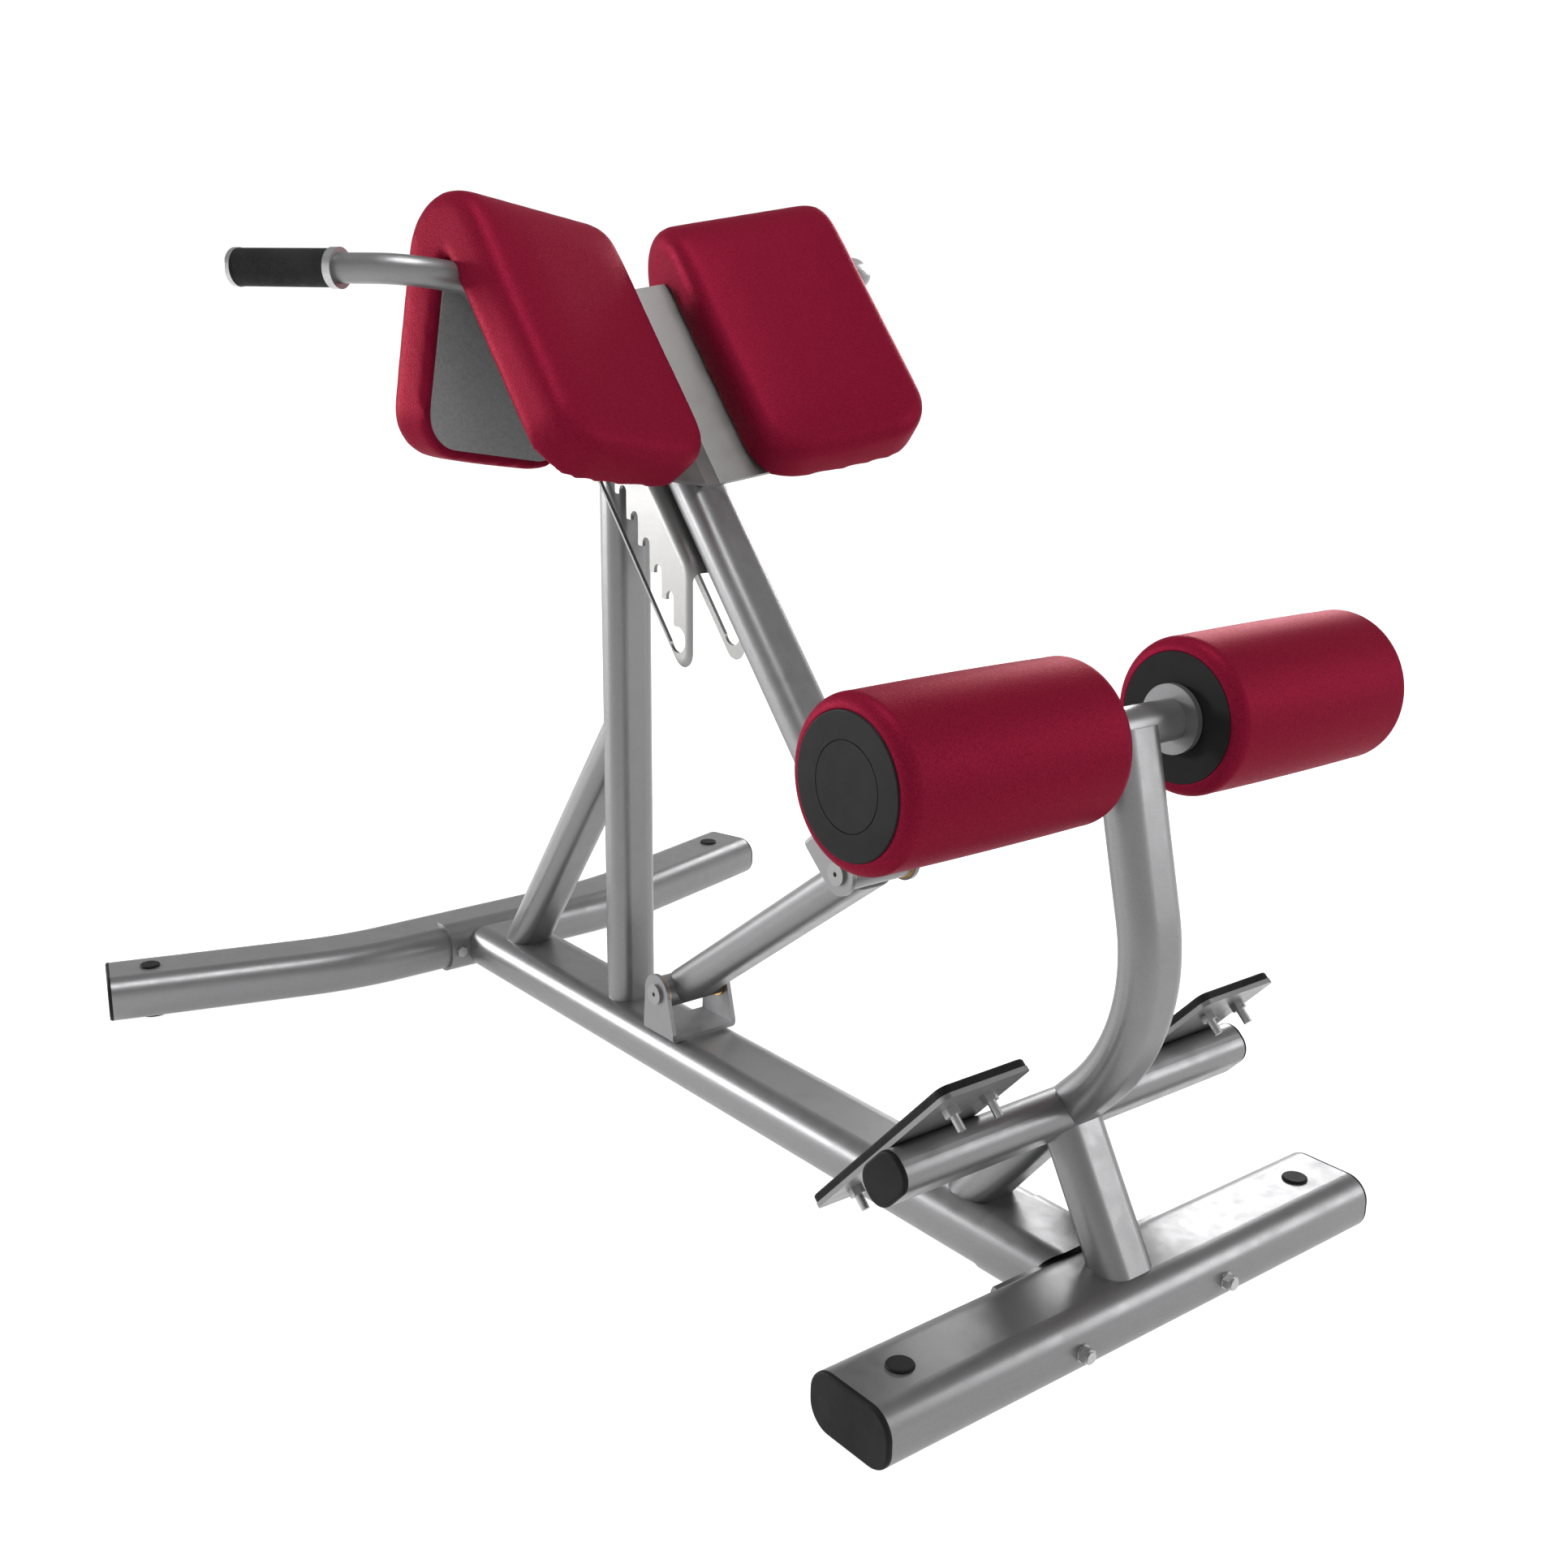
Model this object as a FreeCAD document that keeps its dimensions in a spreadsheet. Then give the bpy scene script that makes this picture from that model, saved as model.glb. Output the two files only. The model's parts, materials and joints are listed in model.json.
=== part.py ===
"""Roman chair: a 45 degree hyperextension bench with height-adjustable hip pads and leg rollers.

Frame: X runs from the curved front foot (-X) to the straight crossbar at the foot end (+X), Y is sideways
and Z is up. The bench is symmetric about the XZ plane; its left side is -Y for someone using it. The
origin is on the floor under the middle of the bounding box. Sizes are millimetres and degrees.
"""
import FreeCAD, Part
import math
import os
import Sketcher

V = FreeCAD.Vector
Rot = FreeCAD.Rotation
Place = FreeCAD.Placement

SIZES = [
    # overall layout: distances back (-X) from the crossbar axis, heights above the floor
    ("crossbar_x", 618.2, "crossbar axis"),
    ("front_foot_back", 1162, "front foot centre line"),
    ("floor_gap", 6, "rubber foot height, underside of the floor tubes"),
    ("post_back", 789, "post axis"),
    ("post_top", 738, "top of the post tube"),
    ("lower_pivot_back", 668, "pivot between frame and swing link"),
    ("lower_pivot_z", 114, "height of the lower pivot"),
    ("upper_pivot_back", 347, "pivot between swing link and pad arm"),
    ("upper_pivot_z", 348, "height of the upper pivot"),
    ("arm_slope", 49.5, "pad arm above horizontal, leaning back"),
    ("foot_bar_back", 69, "foot bar axis"),
    ("foot_bar_z", 189, "height of the foot bar axis"),
    ("roller_back", 30, "roller axis"),
    ("roller_z", 554, "height of the roller axis"),
    # flat-oval floor tube
    ("floor_tube_w", 98, "wide side of the floor tubes"),
    ("floor_tube_t", 57, "height of the floor tubes"),
    ("floor_tube_r", 24, "corner radius of the floor tubes"),
    ("floor_tube_wall", 3, "wall of the floor tubes"),
    # oval strut tube
    ("strut_w", 58, "wide side of the strut tubes, along Y"),
    ("strut_t", 41, "thin side of the strut tubes"),
    ("strut_r", 18, "corner radius of the strut tubes"),
    ("strut_wall", 2.5, "wall of the strut tubes"),
    # crossbar, flange and plastic caps
    ("crossbar_half", 313, "half length of the crossbar tube"),
    ("cap_rim", 4.5, "thickness of an end cap outside its tube"),
    ("cap_insert", 16, "length of an end cap inside its tube"),
    ("plug_y", 262, "bolt-down plug from the middle, crossbar"),
    ("plug_radius", 12.5, "bolt-down plug head"),
    ("plug_stem", 10, "bolt-down plug stem radius"),
    ("flange_half", 106, "half width of the flange wrapped round the back of the crossbar"),
    ("flange_bolt_y", 96, "flange bolt from the middle"),
    ("flange_t", 5, "thickness of that flange"),
    ("flange_h", 38, "height of that flange"),
    ("cope_back", 36, "end of the beam and its sleeve before they are coped to the flange"),
    ("socket_length", 77, "sleeve on the flange that the beam slides into"),
    ("socket_wall", 1.5, "wall of that sleeve"),
    ("bolt_r", 4, "M8 bolt shank"),
    ("nut_across", 13, "M8 nut across its flats"),
    ("nut_t", 7.5, "height of a lock nut"),
    # front foot
    ("front_bend_y", 200, "bend of the front foot from the middle"),
    ("front_bend_r", 400, "bend radius of the front foot"),
    ("front_sweep", 16.5, "sweep of its arms away from the beam"),
    ("front_arm", 299.5, "arm length beyond the bend"),
    ("front_plug_in", 49, "plug distance from the arm end"),
    ("saddle_half", 76, "half width of the saddle on the front foot"),
    ("saddle_t", 4, "thickness of the saddle plate"),
    ("saddle_bolt_y", 63, "saddle bolt from the middle"),
    ("rubber_r", 19, "rubber foot radius"),
    # post and brace
    ("brace_foot_back", 1037, "brace axis where it meets the beam top"),
    ("brace_slope", 54, "brace above horizontal"),
    ("rest_pin_r", 5, "cross pin through the post"),
    ("rest_pin_half", 50, "half length of the cross pin"),
    # pivots
    ("ear_half", 45, "half width over the bracket ears"),
    ("ear_t", 5, "thickness of the bracket ears"),
    ("ear_r", 23, "round end of the bracket ears"),
    ("bracket_height", 51, "pivot above the bracket base"),
    ("barrel_r", 19, "pivot barrel outside"),
    ("barrel_half", 38, "half length of a pivot barrel"),
    ("pivot_r", 8, "pivot axle"),
    ("pivot_gap", 0.06, "radial running gap of the pivot axles"),
    ("washer_r", 21, "bronze thrust washer"),
    ("washer_t", 1.9, "thickness of the thrust washer"),
    ("head_r", 12, "axle head"),
    ("head_t", 3.5, "axle head thickness"),
    ("link_end", 9, "link tube end from the pivot axis"),
    # notch plates, in the arm's frame
    ("plate_half", 39, "half width over the notch plates"),
    ("plate_t", 4, "notch plate sheet"),
    ("plate_bend", 12, "outer bend radius of the notch plates"),
    ("plate_top", 600, "upper end of the notch plates along the arm"),
    ("plate_edge", 116.5, "lower edge of the notch plates below the arm axis"),
    ("plate_tip", 258.5, "corner of the lower tip along the arm"),
    ("plate_heel", 370.7, "corner under the arm tube along the arm"),
    ("slot_inner", 87, "near side of the slot from the arm axis"),
    ("slot_outer", 105.5, "far side of the slot from the arm axis"),
    ("slot_low", 328, "lower end of the slot along the arm"),
    ("slot_high", 563.1, "upper end of the slot along the arm"),
    ("entry_r", 14.5, "round opening at the lower end of the slot"),
    ("notch_pitch", 34.7, "spacing of the notches along the arm"),
    ("notch_w", 14, "width of a notch"),
    ("notch_h", 32, "height of a notch"),
    # pads, in the arm's frame
    ("arm_top", 660, "upper end of the arm tube"),
    ("pad_tilt", 14.5, "inward tilt of each hip pad"),
    ("pad_inner", 57, "inner edge of a pad, across its own face"),
    ("pad_back", 22, "back face of a pad from the tilt axis"),
    ("pad_width", 206, "width of a hip pad"),
    ("pad_thick", 60, "thickness of a pad with its board"),
    ("pad_low", 429, "lower end of a pad along the arm"),
    ("pad_apex", 707, "inside corner of the fold along the arm"),
    ("pad_fold", 40.7, "angle between the two parts of a pad"),
    ("pad_hang", 207, "length of the hanging part"),
    ("pad_corner", 48, "plan radius of the pad corners"),
    ("pad_edge", 18, "rounding of the pad's face edges"),
    ("board_t", 6, "pad board"),
    ("board_inset", 10, "board edge inside the pad edge"),
    ("bracket_low", 447, "lower end of the pad bracket along the arm"),
    ("bracket_sheet", 4, "pad bracket sheet"),
    ("bracket_strip", 10.5, "half width of the bracket's flat middle"),
    ("bracket_wing", 88, "outer edge of a bracket wing, across its face"),
    ("bracket_leg", 104, "length of the folded-down bracket leg"),
    ("screw_r", 3, "pad screw shank"),
    ("screw_head_r", 6, "pad screw head"),
    # handlebar
    ("handle_r", 15, "handlebar tube"),
    ("handle_wall", 2, "handlebar wall"),
    ("grip_r", 19, "rubber grip"),
    ("grip_corner_back", 720, "corner where a grip's line leaves the handlebar"),
    ("grip_corner_y", 292, "that corner from the middle"),
    ("grip_z", 921, "grip height"),
    ("grip_sweep", 59.3, "grips swept back from straight sideways"),
    ("grip_start", 90, "inner end of a grip from that corner"),
    ("grip_end", 201.5, "outer end of a grip from that corner"),
    ("collar_r", 20.4, "ring at the inner end of the grip"),
    ("collar_t", 9, "width of that ring"),
    ("end_flange_r", 19.6, "metal disc at the outer end of the grip"),
    ("end_flange_t", 6.5, "thickness of that disc"),
    # rollers
    ("roller_in", 64.2, "inner end of a roller from the middle"),
    ("roller_out", 307.3, "outer end of a roller from the middle"),
    ("roller_r", 70.5, "roller radius"),
    ("roller_round", 12, "rounding of the roller's ends"),
    ("core_r", 20, "plastic core tube"),
    ("disc_r", 58, "end disc radius"),
    ("disc_t", 6, "end disc thickness"),
    ("hub_r", 35.5, "round cap on the outer disc"),
    ("axle_tube_r", 18.5, "fixed tube across the upright"),
    ("axle_tube_half", 56, "half length of that tube"),
    ("collar_ring_r", 31, "collar at its end"),
    ("spindle_r", 12.5, "spindle that the rollers turn on"),
    ("spindle_half", 296, "half length of the spindle"),
    ("spindle_gap", 0.08, "radial running gap of the rollers"),
    ("upright_lean", 13.5, "upper run of the upright from vertical"),
    ("upright_bend", 190, "bend radius of the upright"),
    # foot bar and foot plates
    ("foot_bar_half", 220.5, "half length of the foot bar tube"),
    ("foot_slope", 46.7, "slope of the foot plates"),
    ("foot_plate_in", 113, "inner edge of a foot plate from the middle"),
    ("foot_plate_w", 100, "width of a foot plate"),
    ("foot_plate_up", 108.5, "plate above the foot bar axis, along the slope"),
    ("foot_plate_down", 125, "plate below the foot bar axis, along the slope"),
    ("foot_plate_t", 4.5, "steel plate thickness"),
    ("mat_t", 7.5, "rubber mat thickness"),
    ("mat_r", 10, "rubber mat corner radius"),
    ("stud_up", 76, "upper studs above the foot bar axis"),
    ("stud_down", 93, "lower studs below the foot bar axis"),
    ("stud_in", 143, "inner studs from the middle"),
    ("stud_out", 186.5, "outer studs from the middle"),
    ("stud_length", 26, "stud below the plate's top face"),
]

doc = FreeCAD.newDocument("roman_chair")
sheet = doc.addObject("Spreadsheet::Sheet", "dims")
dim = {}
for row, (alias, value, note) in enumerate(SIZES, start=1):
    sheet.set("A%d" % row, alias)
    sheet.set("B%d" % row, str(value))
    sheet.set("C%d" % row, note)
    sheet.setAlias("B%d" % row, alias)
    dim[alias] = float(value)
doc.recompute()

sub_parts = []


def keep(obj, node):
    """Name a finished sub-part: its Label is the name of its node and file."""
    obj.Label = node
    sub_parts.append(obj)
    return obj


def with_sheet(formula):
    """Put the sheet's name before every alias in a formula, such as "2 * crossbar_half"."""
    words = formula.replace("(", " ( ").replace(")", " ) ").split()
    return " ".join("dims." + word if word in dim else word for word in words)


def number(formula):
    """Value of a formula of the sheet's aliases."""
    sheet.set("E1", "=" + formula)
    sheet.recompute()
    return float(sheet.get("E1"))


def bind(obj, **formulas):
    for prop, formula in formulas.items():
        obj.setExpression(prop, with_sheet(formula))
    return obj


def move(obj, position, rotation=Rot()):
    obj.Placement = Place(position, rotation)
    return obj


# ---------------------------------------------------------------- directions and places
def axes(x_dir, y_dir):
    """Rotation that carries local X and Y onto two perpendicular directions."""
    return Rot(x_dir, y_dir, x_dir.cross(y_dir), "ZXY")


def in_plane(angle):
    """Direction in the XZ plane, degrees above +X."""
    return V(math.cos(math.radians(angle)), 0, math.sin(math.radians(angle)))


X = V(1, 0, 0)
Y = V(0, 1, 0)
Z = V(0, 0, 1)
ALONG_X = Rot(Y, 90)
ALONG_Y = Rot(X, -90)
CROSSBAR_X = dim["crossbar_x"]
TUBE_TOP = dim["floor_gap"] + dim["floor_tube_t"]
TUBE_MID = dim["floor_gap"] + dim["floor_tube_t"] / 2
LOWER_PIVOT = V(CROSSBAR_X - dim["lower_pivot_back"], 0, dim["lower_pivot_z"])
UPPER_PIVOT = V(CROSSBAR_X - dim["upper_pivot_back"], 0, dim["upper_pivot_z"])
FOOT_BAR = V(CROSSBAR_X - dim["foot_bar_back"], 0, dim["foot_bar_z"])
ROLLER = V(CROSSBAR_X - dim["roller_back"], 0, dim["roller_z"])
ARM_UP = in_plane(180 - dim["arm_slope"])
ARM_OUT = in_plane(90 - dim["arm_slope"])
TILT = math.radians(dim["pad_tilt"])
# across and out of the right pad's own face
PAD_ACROSS = Y * math.cos(TILT) + ARM_OUT * math.sin(TILT)
PAD_OUT = ARM_OUT * math.cos(TILT) - Y * math.sin(TILT)
# fold of the pads, in the plane of ARM_UP and PAD_OUT
FOLD = math.radians(dim["pad_fold"])
HANG_DOWN = (-math.cos(FOLD), -math.sin(FOLD))
HANG_OUT = (math.sin(FOLD), -math.cos(FOLD))
FOOT_UP = in_plane(dim["foot_slope"])
FOOT_OUT = in_plane(dim["foot_slope"] + 90)
# local frames: X along the arm, Y out of it (or below it), Z sideways
PAD_ROT = axes(ARM_UP, PAD_OUT)
BELOW_ROT = axes(ARM_UP, ARM_OUT * -1)
FOOT_ROT = axes(FOOT_OUT, FOOT_UP)


def at(back, side, height):
    """Point by its distance behind the crossbar axis, its Y and its height above the floor."""
    return V(CROSSBAR_X - back, side, height)


def on_arm(along, out=0.0, side=0.0):
    """Point of the pad arm: distance up from the upper pivot, out on the user side, and sideways."""
    return UPPER_PIVOT + ARM_UP * along + ARM_OUT * out + Y * side


def on_pad(along, out, across):
    """Point of the right pad: up along the arm, out of the pad's face, and across it."""
    return UPPER_PIVOT + ARM_UP * along + PAD_OUT * out + PAD_ACROSS * across


def on_foot_plate(up, out, side):
    return FOOT_BAR + FOOT_UP * up + FOOT_OUT * out + Y * side


# ---------------------------------------------------------------- building blocks
def oval_section(name, width_x, width_y, corner):
    """Sketch of a rounded rectangle about its origin; the three sizes are formulas of the sheet."""
    sketch = doc.addObject("Sketcher::SketchObject", name)
    half_x = number(width_x) / 2
    half_y = number(width_y) / 2
    rad = number(corner)
    arcs = []
    for index, (sx, sy) in enumerate([(1, 1), (-1, 1), (-1, -1), (1, -1)]):
        circle = Part.Circle(V(sx * (half_x - rad), sy * (half_y - rad), 0), Z, rad)
        start = math.pi / 2 * index
        arcs.append(sketch.addGeometry(Part.ArcOfCircle(circle, start, start + math.pi / 2), False))
    lines = []
    for index in range(4):
        first = sketch.getPoint(arcs[index], 2)
        last = sketch.getPoint(arcs[(index + 1) % 4], 1)
        lines.append(sketch.addGeometry(Part.LineSegment(first, last), False))
    for index in range(4):
        sketch.addConstraint(Sketcher.Constraint("Tangent", arcs[index], 2, lines[index], 1))
        sketch.addConstraint(Sketcher.Constraint("Tangent", lines[index], 2, arcs[(index + 1) % 4], 1))
    for index in range(3):
        sketch.addConstraint(Sketcher.Constraint("Equal", arcs[index], arcs[index + 1]))
    sketch.addConstraint(Sketcher.Constraint("Horizontal", lines[0]))
    sketch.addConstraint(Sketcher.Constraint("Vertical", lines[1]))
    sketch.addConstraint(Sketcher.Constraint("Symmetric", arcs[0], 3, arcs[2], 3, -1, 1))
    bound = [(width_x, Sketcher.Constraint("DistanceX", lines[1], 1, lines[3], 1, 2 * half_x)),
             (width_y, Sketcher.Constraint("DistanceY", lines[2], 1, lines[0], 1, 2 * half_y)),
             (corner, Sketcher.Constraint("Radius", arcs[0], rad))]
    for formula, constraint in bound:
        place = sketch.addConstraint(constraint)
        sketch.setExpression("Constraints[%d]" % place, with_sheet(formula))
    return sketch


def polygon_section(name, corners):
    """Closed polygon sketch; each corner is a pair of formulas of the sheet."""
    sketch = doc.addObject("Sketcher::SketchObject", name)
    points = [V(number(x), number(y), 0) for x, y in corners]
    count = len(points)
    for index in range(count):
        sketch.addGeometry(Part.LineSegment(points[index], points[(index + 1) % count]), False)
    for index in range(count):
        sketch.addConstraint(Sketcher.Constraint("Coincident", index, 2, (index + 1) % count, 1))
    for index, pair in enumerate(corners):
        for kind, formula, value in zip(("DistanceX", "DistanceY"), pair, points[index]):
            place = sketch.addConstraint(Sketcher.Constraint(kind, -1, 1, index, 1, value))
            sketch.setExpression("Constraints[%d]" % place, with_sheet(formula))
    return sketch


def extrude(name, sketch, length):
    """Solid along the sketch's normal, as long as the formula says."""
    solid = doc.addObject("Part::Extrusion", name)
    solid.Base = sketch
    solid.DirMode = "Normal"
    solid.Solid = True
    return bind(solid, LengthFwd=length)


def cylinder(name, radius, height, position, rotation=ALONG_Y):
    solid = doc.addObject("Part::Cylinder", name)
    bind(solid, Radius=radius, Height=height)
    return move(solid, position, rotation)


def box(name, length, width, height, position, rotation=Rot()):
    solid = doc.addObject("Part::Box", name)
    bind(solid, Length=length, Width=width, Height=height)
    return move(solid, position, rotation)


def hexagon(name, across, height, position, rotation=ALONG_Y):
    solid = doc.addObject("Part::Prism", name)
    solid.Polygon = 6
    bind(solid, Circumradius="%s / 1.7320508" % across, Height=height)
    return move(solid, position, rotation)


def cut(name, base, *tools):
    """Cut each tool from the base."""
    result = base
    for index, tool in enumerate(tools):
        step = doc.addObject("Part::Cut", "%s_cut%d" % (name, index))
        step.Base = result
        step.Tool = tool
        result = step
    return result


def common(name, first, second):
    solid = doc.addObject("Part::Common", name)
    solid.Base = first
    solid.Tool = second
    return solid


def fuse(name, *shapes):
    solid = doc.addObject("Part::MultiFuse", name)
    solid.Shapes = list(shapes)
    return solid


def group(name, *shapes):
    """Several separate solids in one node."""
    solid = doc.addObject("Part::Compound", name)
    solid.Links = list(shapes)
    return solid


def mirror(name, source):
    """Copy of a sub-part on the other side of the XZ plane."""
    solid = doc.addObject("Part::Mirroring", name)
    solid.Source = source
    solid.Normal = Y
    return solid


def round_edges(name, solid, radius, wanted):
    """Fillet every edge of a solid for which wanted(edge) is true."""
    doc.recompute()
    edges = [index for index, edge in enumerate(solid.Shape.Edges, start=1) if wanted(edge)]
    fillet = doc.addObject("Part::Fillet", name)
    fillet.Base = solid
    fillet.Edges = [(index, radius, radius) for index in edges]
    return fillet


def straight(edge, direction):
    """True for a straight edge parallel to a direction."""
    if edge.Curve.TypeId != "Part::GeomLine":
        return False
    return edge.tangentAt(edge.FirstParameter).cross(direction).Length < 1e-6


def near_line(edge, point, direction):
    """True for a straight edge that lies on the line through a point."""
    if not straight(edge, direction):
        return False
    return (edge.Vertexes[0].Point - point).cross(direction).Length < 0.01


FLOOR_UPRIGHT = ("floor_tube_w", "floor_tube_t", "floor_tube_r")
FLOOR_ALONG = ("floor_tube_t", "floor_tube_w", "floor_tube_r")
STRUT = ("strut_t", "strut_w", "strut_r")


def oval_bar(name, sizes, length, position, rotation, shrink="0"):
    """Solid oval bar; shrink is what to leave out all round, such as the wall for a tube's bore."""
    width_x, width_y, corner = sizes
    section = oval_section(name + "_section", "%s - 2 * ( %s )" % (width_x, shrink),
                           "%s - 2 * ( %s )" % (width_y, shrink), "%s - ( %s )" % (corner, shrink))
    return move(extrude(name, section, length), position, rotation)


def oval_tube(node, sizes, wall, length, position, rotation, tools=()):
    """Straight oval tube. Returns the tube and its solid outside, which copes other tubes."""
    outer = oval_bar(node + "_outer", sizes, length, position, rotation)
    bore = oval_bar(node + "_bore", sizes, length, position, rotation, shrink=wall)
    return cut(node, outer, bore, *tools), outer


def end_cap(name, sizes, wall, position, rotation):
    """Plastic cap: a rim with a rounded edge outside the tube and a plug inside it (local -Z)."""
    rim = oval_bar(name + "_rim", sizes, "cap_rim", position, rotation)
    outward = rotation.multVec(Z)
    face = position + outward * dim["cap_rim"]
    soft = round_edges(name + "_soft", rim, 3.0,
                       lambda edge: abs((edge.CenterOfMass - face).dot(outward)) < 0.01)
    start = position - outward * dim["cap_insert"]
    insert = oval_bar(name + "_insert", sizes, "cap_insert + 1", start, rotation,
                      shrink="%s + 0.05" % wall)
    return fuse(name, soft, insert)


def plug(name, position):
    """Button that closes a bolt-down hole in the top of a floor tube."""
    head = cylinder(name + "_head", "plug_radius", "2.5", position, Rot())
    top = position.z + 2.5
    soft = round_edges(name + "_soft", head, 1.8, lambda edge: abs(edge.CenterOfMass.z - top) < 0.01
                       and edge.Curve.TypeId == "Part::GeomCircle")
    stem = cylinder(name + "_stem", "plug_stem", "8", position - Z * 7, Rot())
    return fuse(name, soft, stem)


def bends(corners, radii):
    """Runs and bends through corner points: a list of point pairs and point triples."""
    pieces = []
    start = corners[0]
    for index, radius in enumerate(radii, start=1):
        before = (corners[index] - corners[index - 1]).normalize()
        after = (corners[index + 1] - corners[index]).normalize()
        half_turn = before.getAngle(after) / 2
        first = corners[index] - before * (radius * math.tan(half_turn))
        last = corners[index] + after * (radius * math.tan(half_turn))
        middle = corners[index] + (after - before).normalize() * (radius / math.cos(half_turn) - radius)
        pieces.append((start, first))
        pieces.append((first, middle, last))
        start = last
    pieces.append((start, corners[-1]))
    return pieces


def bent_path(name, corners, radii, position, rotation):
    """Sketch of straight runs and tangent bends, in its own XY plane."""
    sketch = doc.addObject("Sketcher::SketchObject", name)
    pieces = bends(corners, [dim[radius] for radius in radii])
    bend_names = iter(radii)
    for points in pieces:
        if len(points) == 2:
            sketch.addGeometry(Part.LineSegment(*points), False)
        else:
            sketch.addGeometry(Part.Arc(*points), False)
    for index in range(len(pieces) - 1):
        joint = pieces[index][-1]
        ends = []
        for geometry in (index, index + 1):
            distance = [(sketch.getPoint(geometry, end) - joint).Length for end in (1, 2)]
            ends += [geometry, 1 if distance[0] < distance[1] else 2]
        sketch.addConstraint(Sketcher.Constraint("Tangent", *ends))
    for index, points in enumerate(pieces):
        if len(points) == 3:
            radius = next(bend_names)
            place = sketch.addConstraint(Sketcher.Constraint("Radius", index, dim[radius]))
            sketch.setExpression("Constraints[%d]" % place, with_sheet(radius))
    return move(sketch, position, rotation)


def sweep(name, profile, path):
    """Solid of a profile carried along all of a path."""
    doc.recompute()
    solid = doc.addObject("Part::Sweep", name)
    solid.Sections = [profile]
    solid.Spine = (path, ["Edge%d" % (index + 1) for index in range(len(path.Shape.Edges))])
    solid.Solid = True
    solid.Frenet = False
    return solid


def bent_oval_tube(node, sizes, wall, path, start, rotation, tools=()):
    """Oval tube along a bent path that begins at start; rotation sets the profile upright there."""
    outer_profile = move(oval_section(node + "_outer_section", *sizes), start, rotation)
    bore_sizes = ["%s - 2 * %s" % (sizes[0], wall), "%s - 2 * %s" % (sizes[1], wall),
                  "%s - %s" % (sizes[2], wall)]
    bore_profile = move(oval_section(node + "_bore_section", *bore_sizes), start, rotation)
    outer = sweep(node + "_outer", outer_profile, path)
    bore = sweep(node + "_bore", bore_profile, path)
    return cut(node, outer, bore, *tools), outer


# ---------------------------------------------------------------- rear crossbar, flange and beam
start = V(CROSSBAR_X, -dim["crossbar_half"], TUBE_MID)
bolt_holes = [cylinder("flange_bolt_hole_%d" % side, "bolt_r", "140",
                       at(70, side * dim["flange_bolt_y"], TUBE_MID), ALONG_X) for side in (-1, 1)]
plug_holes = [cylinder("crossbar_plug_hole_%d" % side, "plug_stem", "10",
                       at(0, side * dim["plug_y"], TUBE_TOP - 9), Rot()) for side in (-1, 1)]
crossbar, crossbar_outer = oval_tube("crossbar", FLOOR_UPRIGHT, "floor_tube_wall", "2 * crossbar_half",
                                     start, ALONG_Y, bolt_holes + plug_holes)
keep(crossbar, "rear_crossbar")
keep(group("crossbar_caps",
           end_cap("crossbar_cap_right", FLOOR_UPRIGHT, "floor_tube_wall",
                   V(CROSSBAR_X, dim["crossbar_half"], TUBE_MID), ALONG_Y),
           end_cap("crossbar_cap_left", FLOOR_UPRIGHT, "floor_tube_wall", start, Rot(X, 90))),
     "crossbar_end_caps")
keep(group("crossbar_plug_pair", *[plug("crossbar_plug_%d" % side, at(0, side * dim["plug_y"], TUBE_TOP))
                                   for side in (-1, 1)]), "crossbar_plugs")
flange_face = dim["floor_tube_w"] / 2
flange_back = flange_face + dim["flange_t"]
flange_round = oval_bar("flange_round", FLOOR_UPRIGHT, "2 * flange_half",
                        at(0, -dim["flange_half"], TUBE_MID), ALONG_Y, shrink="0 - flange_t")
flange_zone = box("flange_zone", "40", "2 * flange_half", "flange_h",
                  at(65, -dim["flange_half"], TUBE_MID - dim["flange_h"] / 2))
keep(cut("flange", common("flange_strip", flange_round, flange_zone), crossbar_outer, *bolt_holes),
     "flange_plate")
bolts = []
nuts = []
for side in (-1, 1):
    y = side * dim["flange_bolt_y"]
    head = hexagon("flange_head_%d" % side, "nut_across", "5", at(flange_back + 5, y, TUBE_MID), ALONG_X)
    shank = cylinder("flange_shank_%d" % side, "bolt_r", "115", at(flange_back + 1, y, TUBE_MID), ALONG_X)
    bolts.append(fuse("flange_bolt_%d" % side, head, shank))
    washer = cylinder("flange_washer_%d" % side, "2 * bolt_r", "1.5", at(-flange_face, y, TUBE_MID), ALONG_X)
    nut = hexagon("flange_nut_%d" % side, "nut_across", "nut_t", at(-flange_face - 1.5, y, TUBE_MID), ALONG_X)
    collar = cylinder("flange_nut_top_%d" % side, "bolt_r + 1.5", "2",
                      at(-flange_face - 1.5 - dim["nut_t"], y, TUBE_MID), ALONG_X)
    bore = cylinder("flange_nut_bore_%d" % side, "bolt_r", "20", at(-flange_face + 1, y, TUBE_MID), ALONG_X)
    nuts.append(cut("flange_lock_nut_%d" % side, fuse("flange_nut_body_%d" % side, washer, nut, collar), bore))
keep(group("flange_bolts", *bolts), "crossbar_bolts")
keep(group("flange_nuts", *nuts), "crossbar_nuts")

front_face = dim["front_foot_back"] - flange_face - dim["saddle_t"]
beam, beam_outer = oval_tube("beam", FLOOR_ALONG, "floor_tube_wall",
                             "front_foot_back - floor_tube_w / 2 - saddle_t - cope_back",
                             at(front_face, 0, TUBE_MID), ALONG_X, [flange_round])
keep(beam, "main_beam")
sleeve = oval_bar("socket_outer", FLOOR_ALONG, "socket_length + floor_tube_w / 2 + flange_t - cope_back",
                  at(flange_back + dim["socket_length"], 0, TUBE_MID), ALONG_X, shrink="0 - socket_wall")
keep(cut("socket", sleeve, beam_outer, flange_round), "beam_socket")

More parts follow.
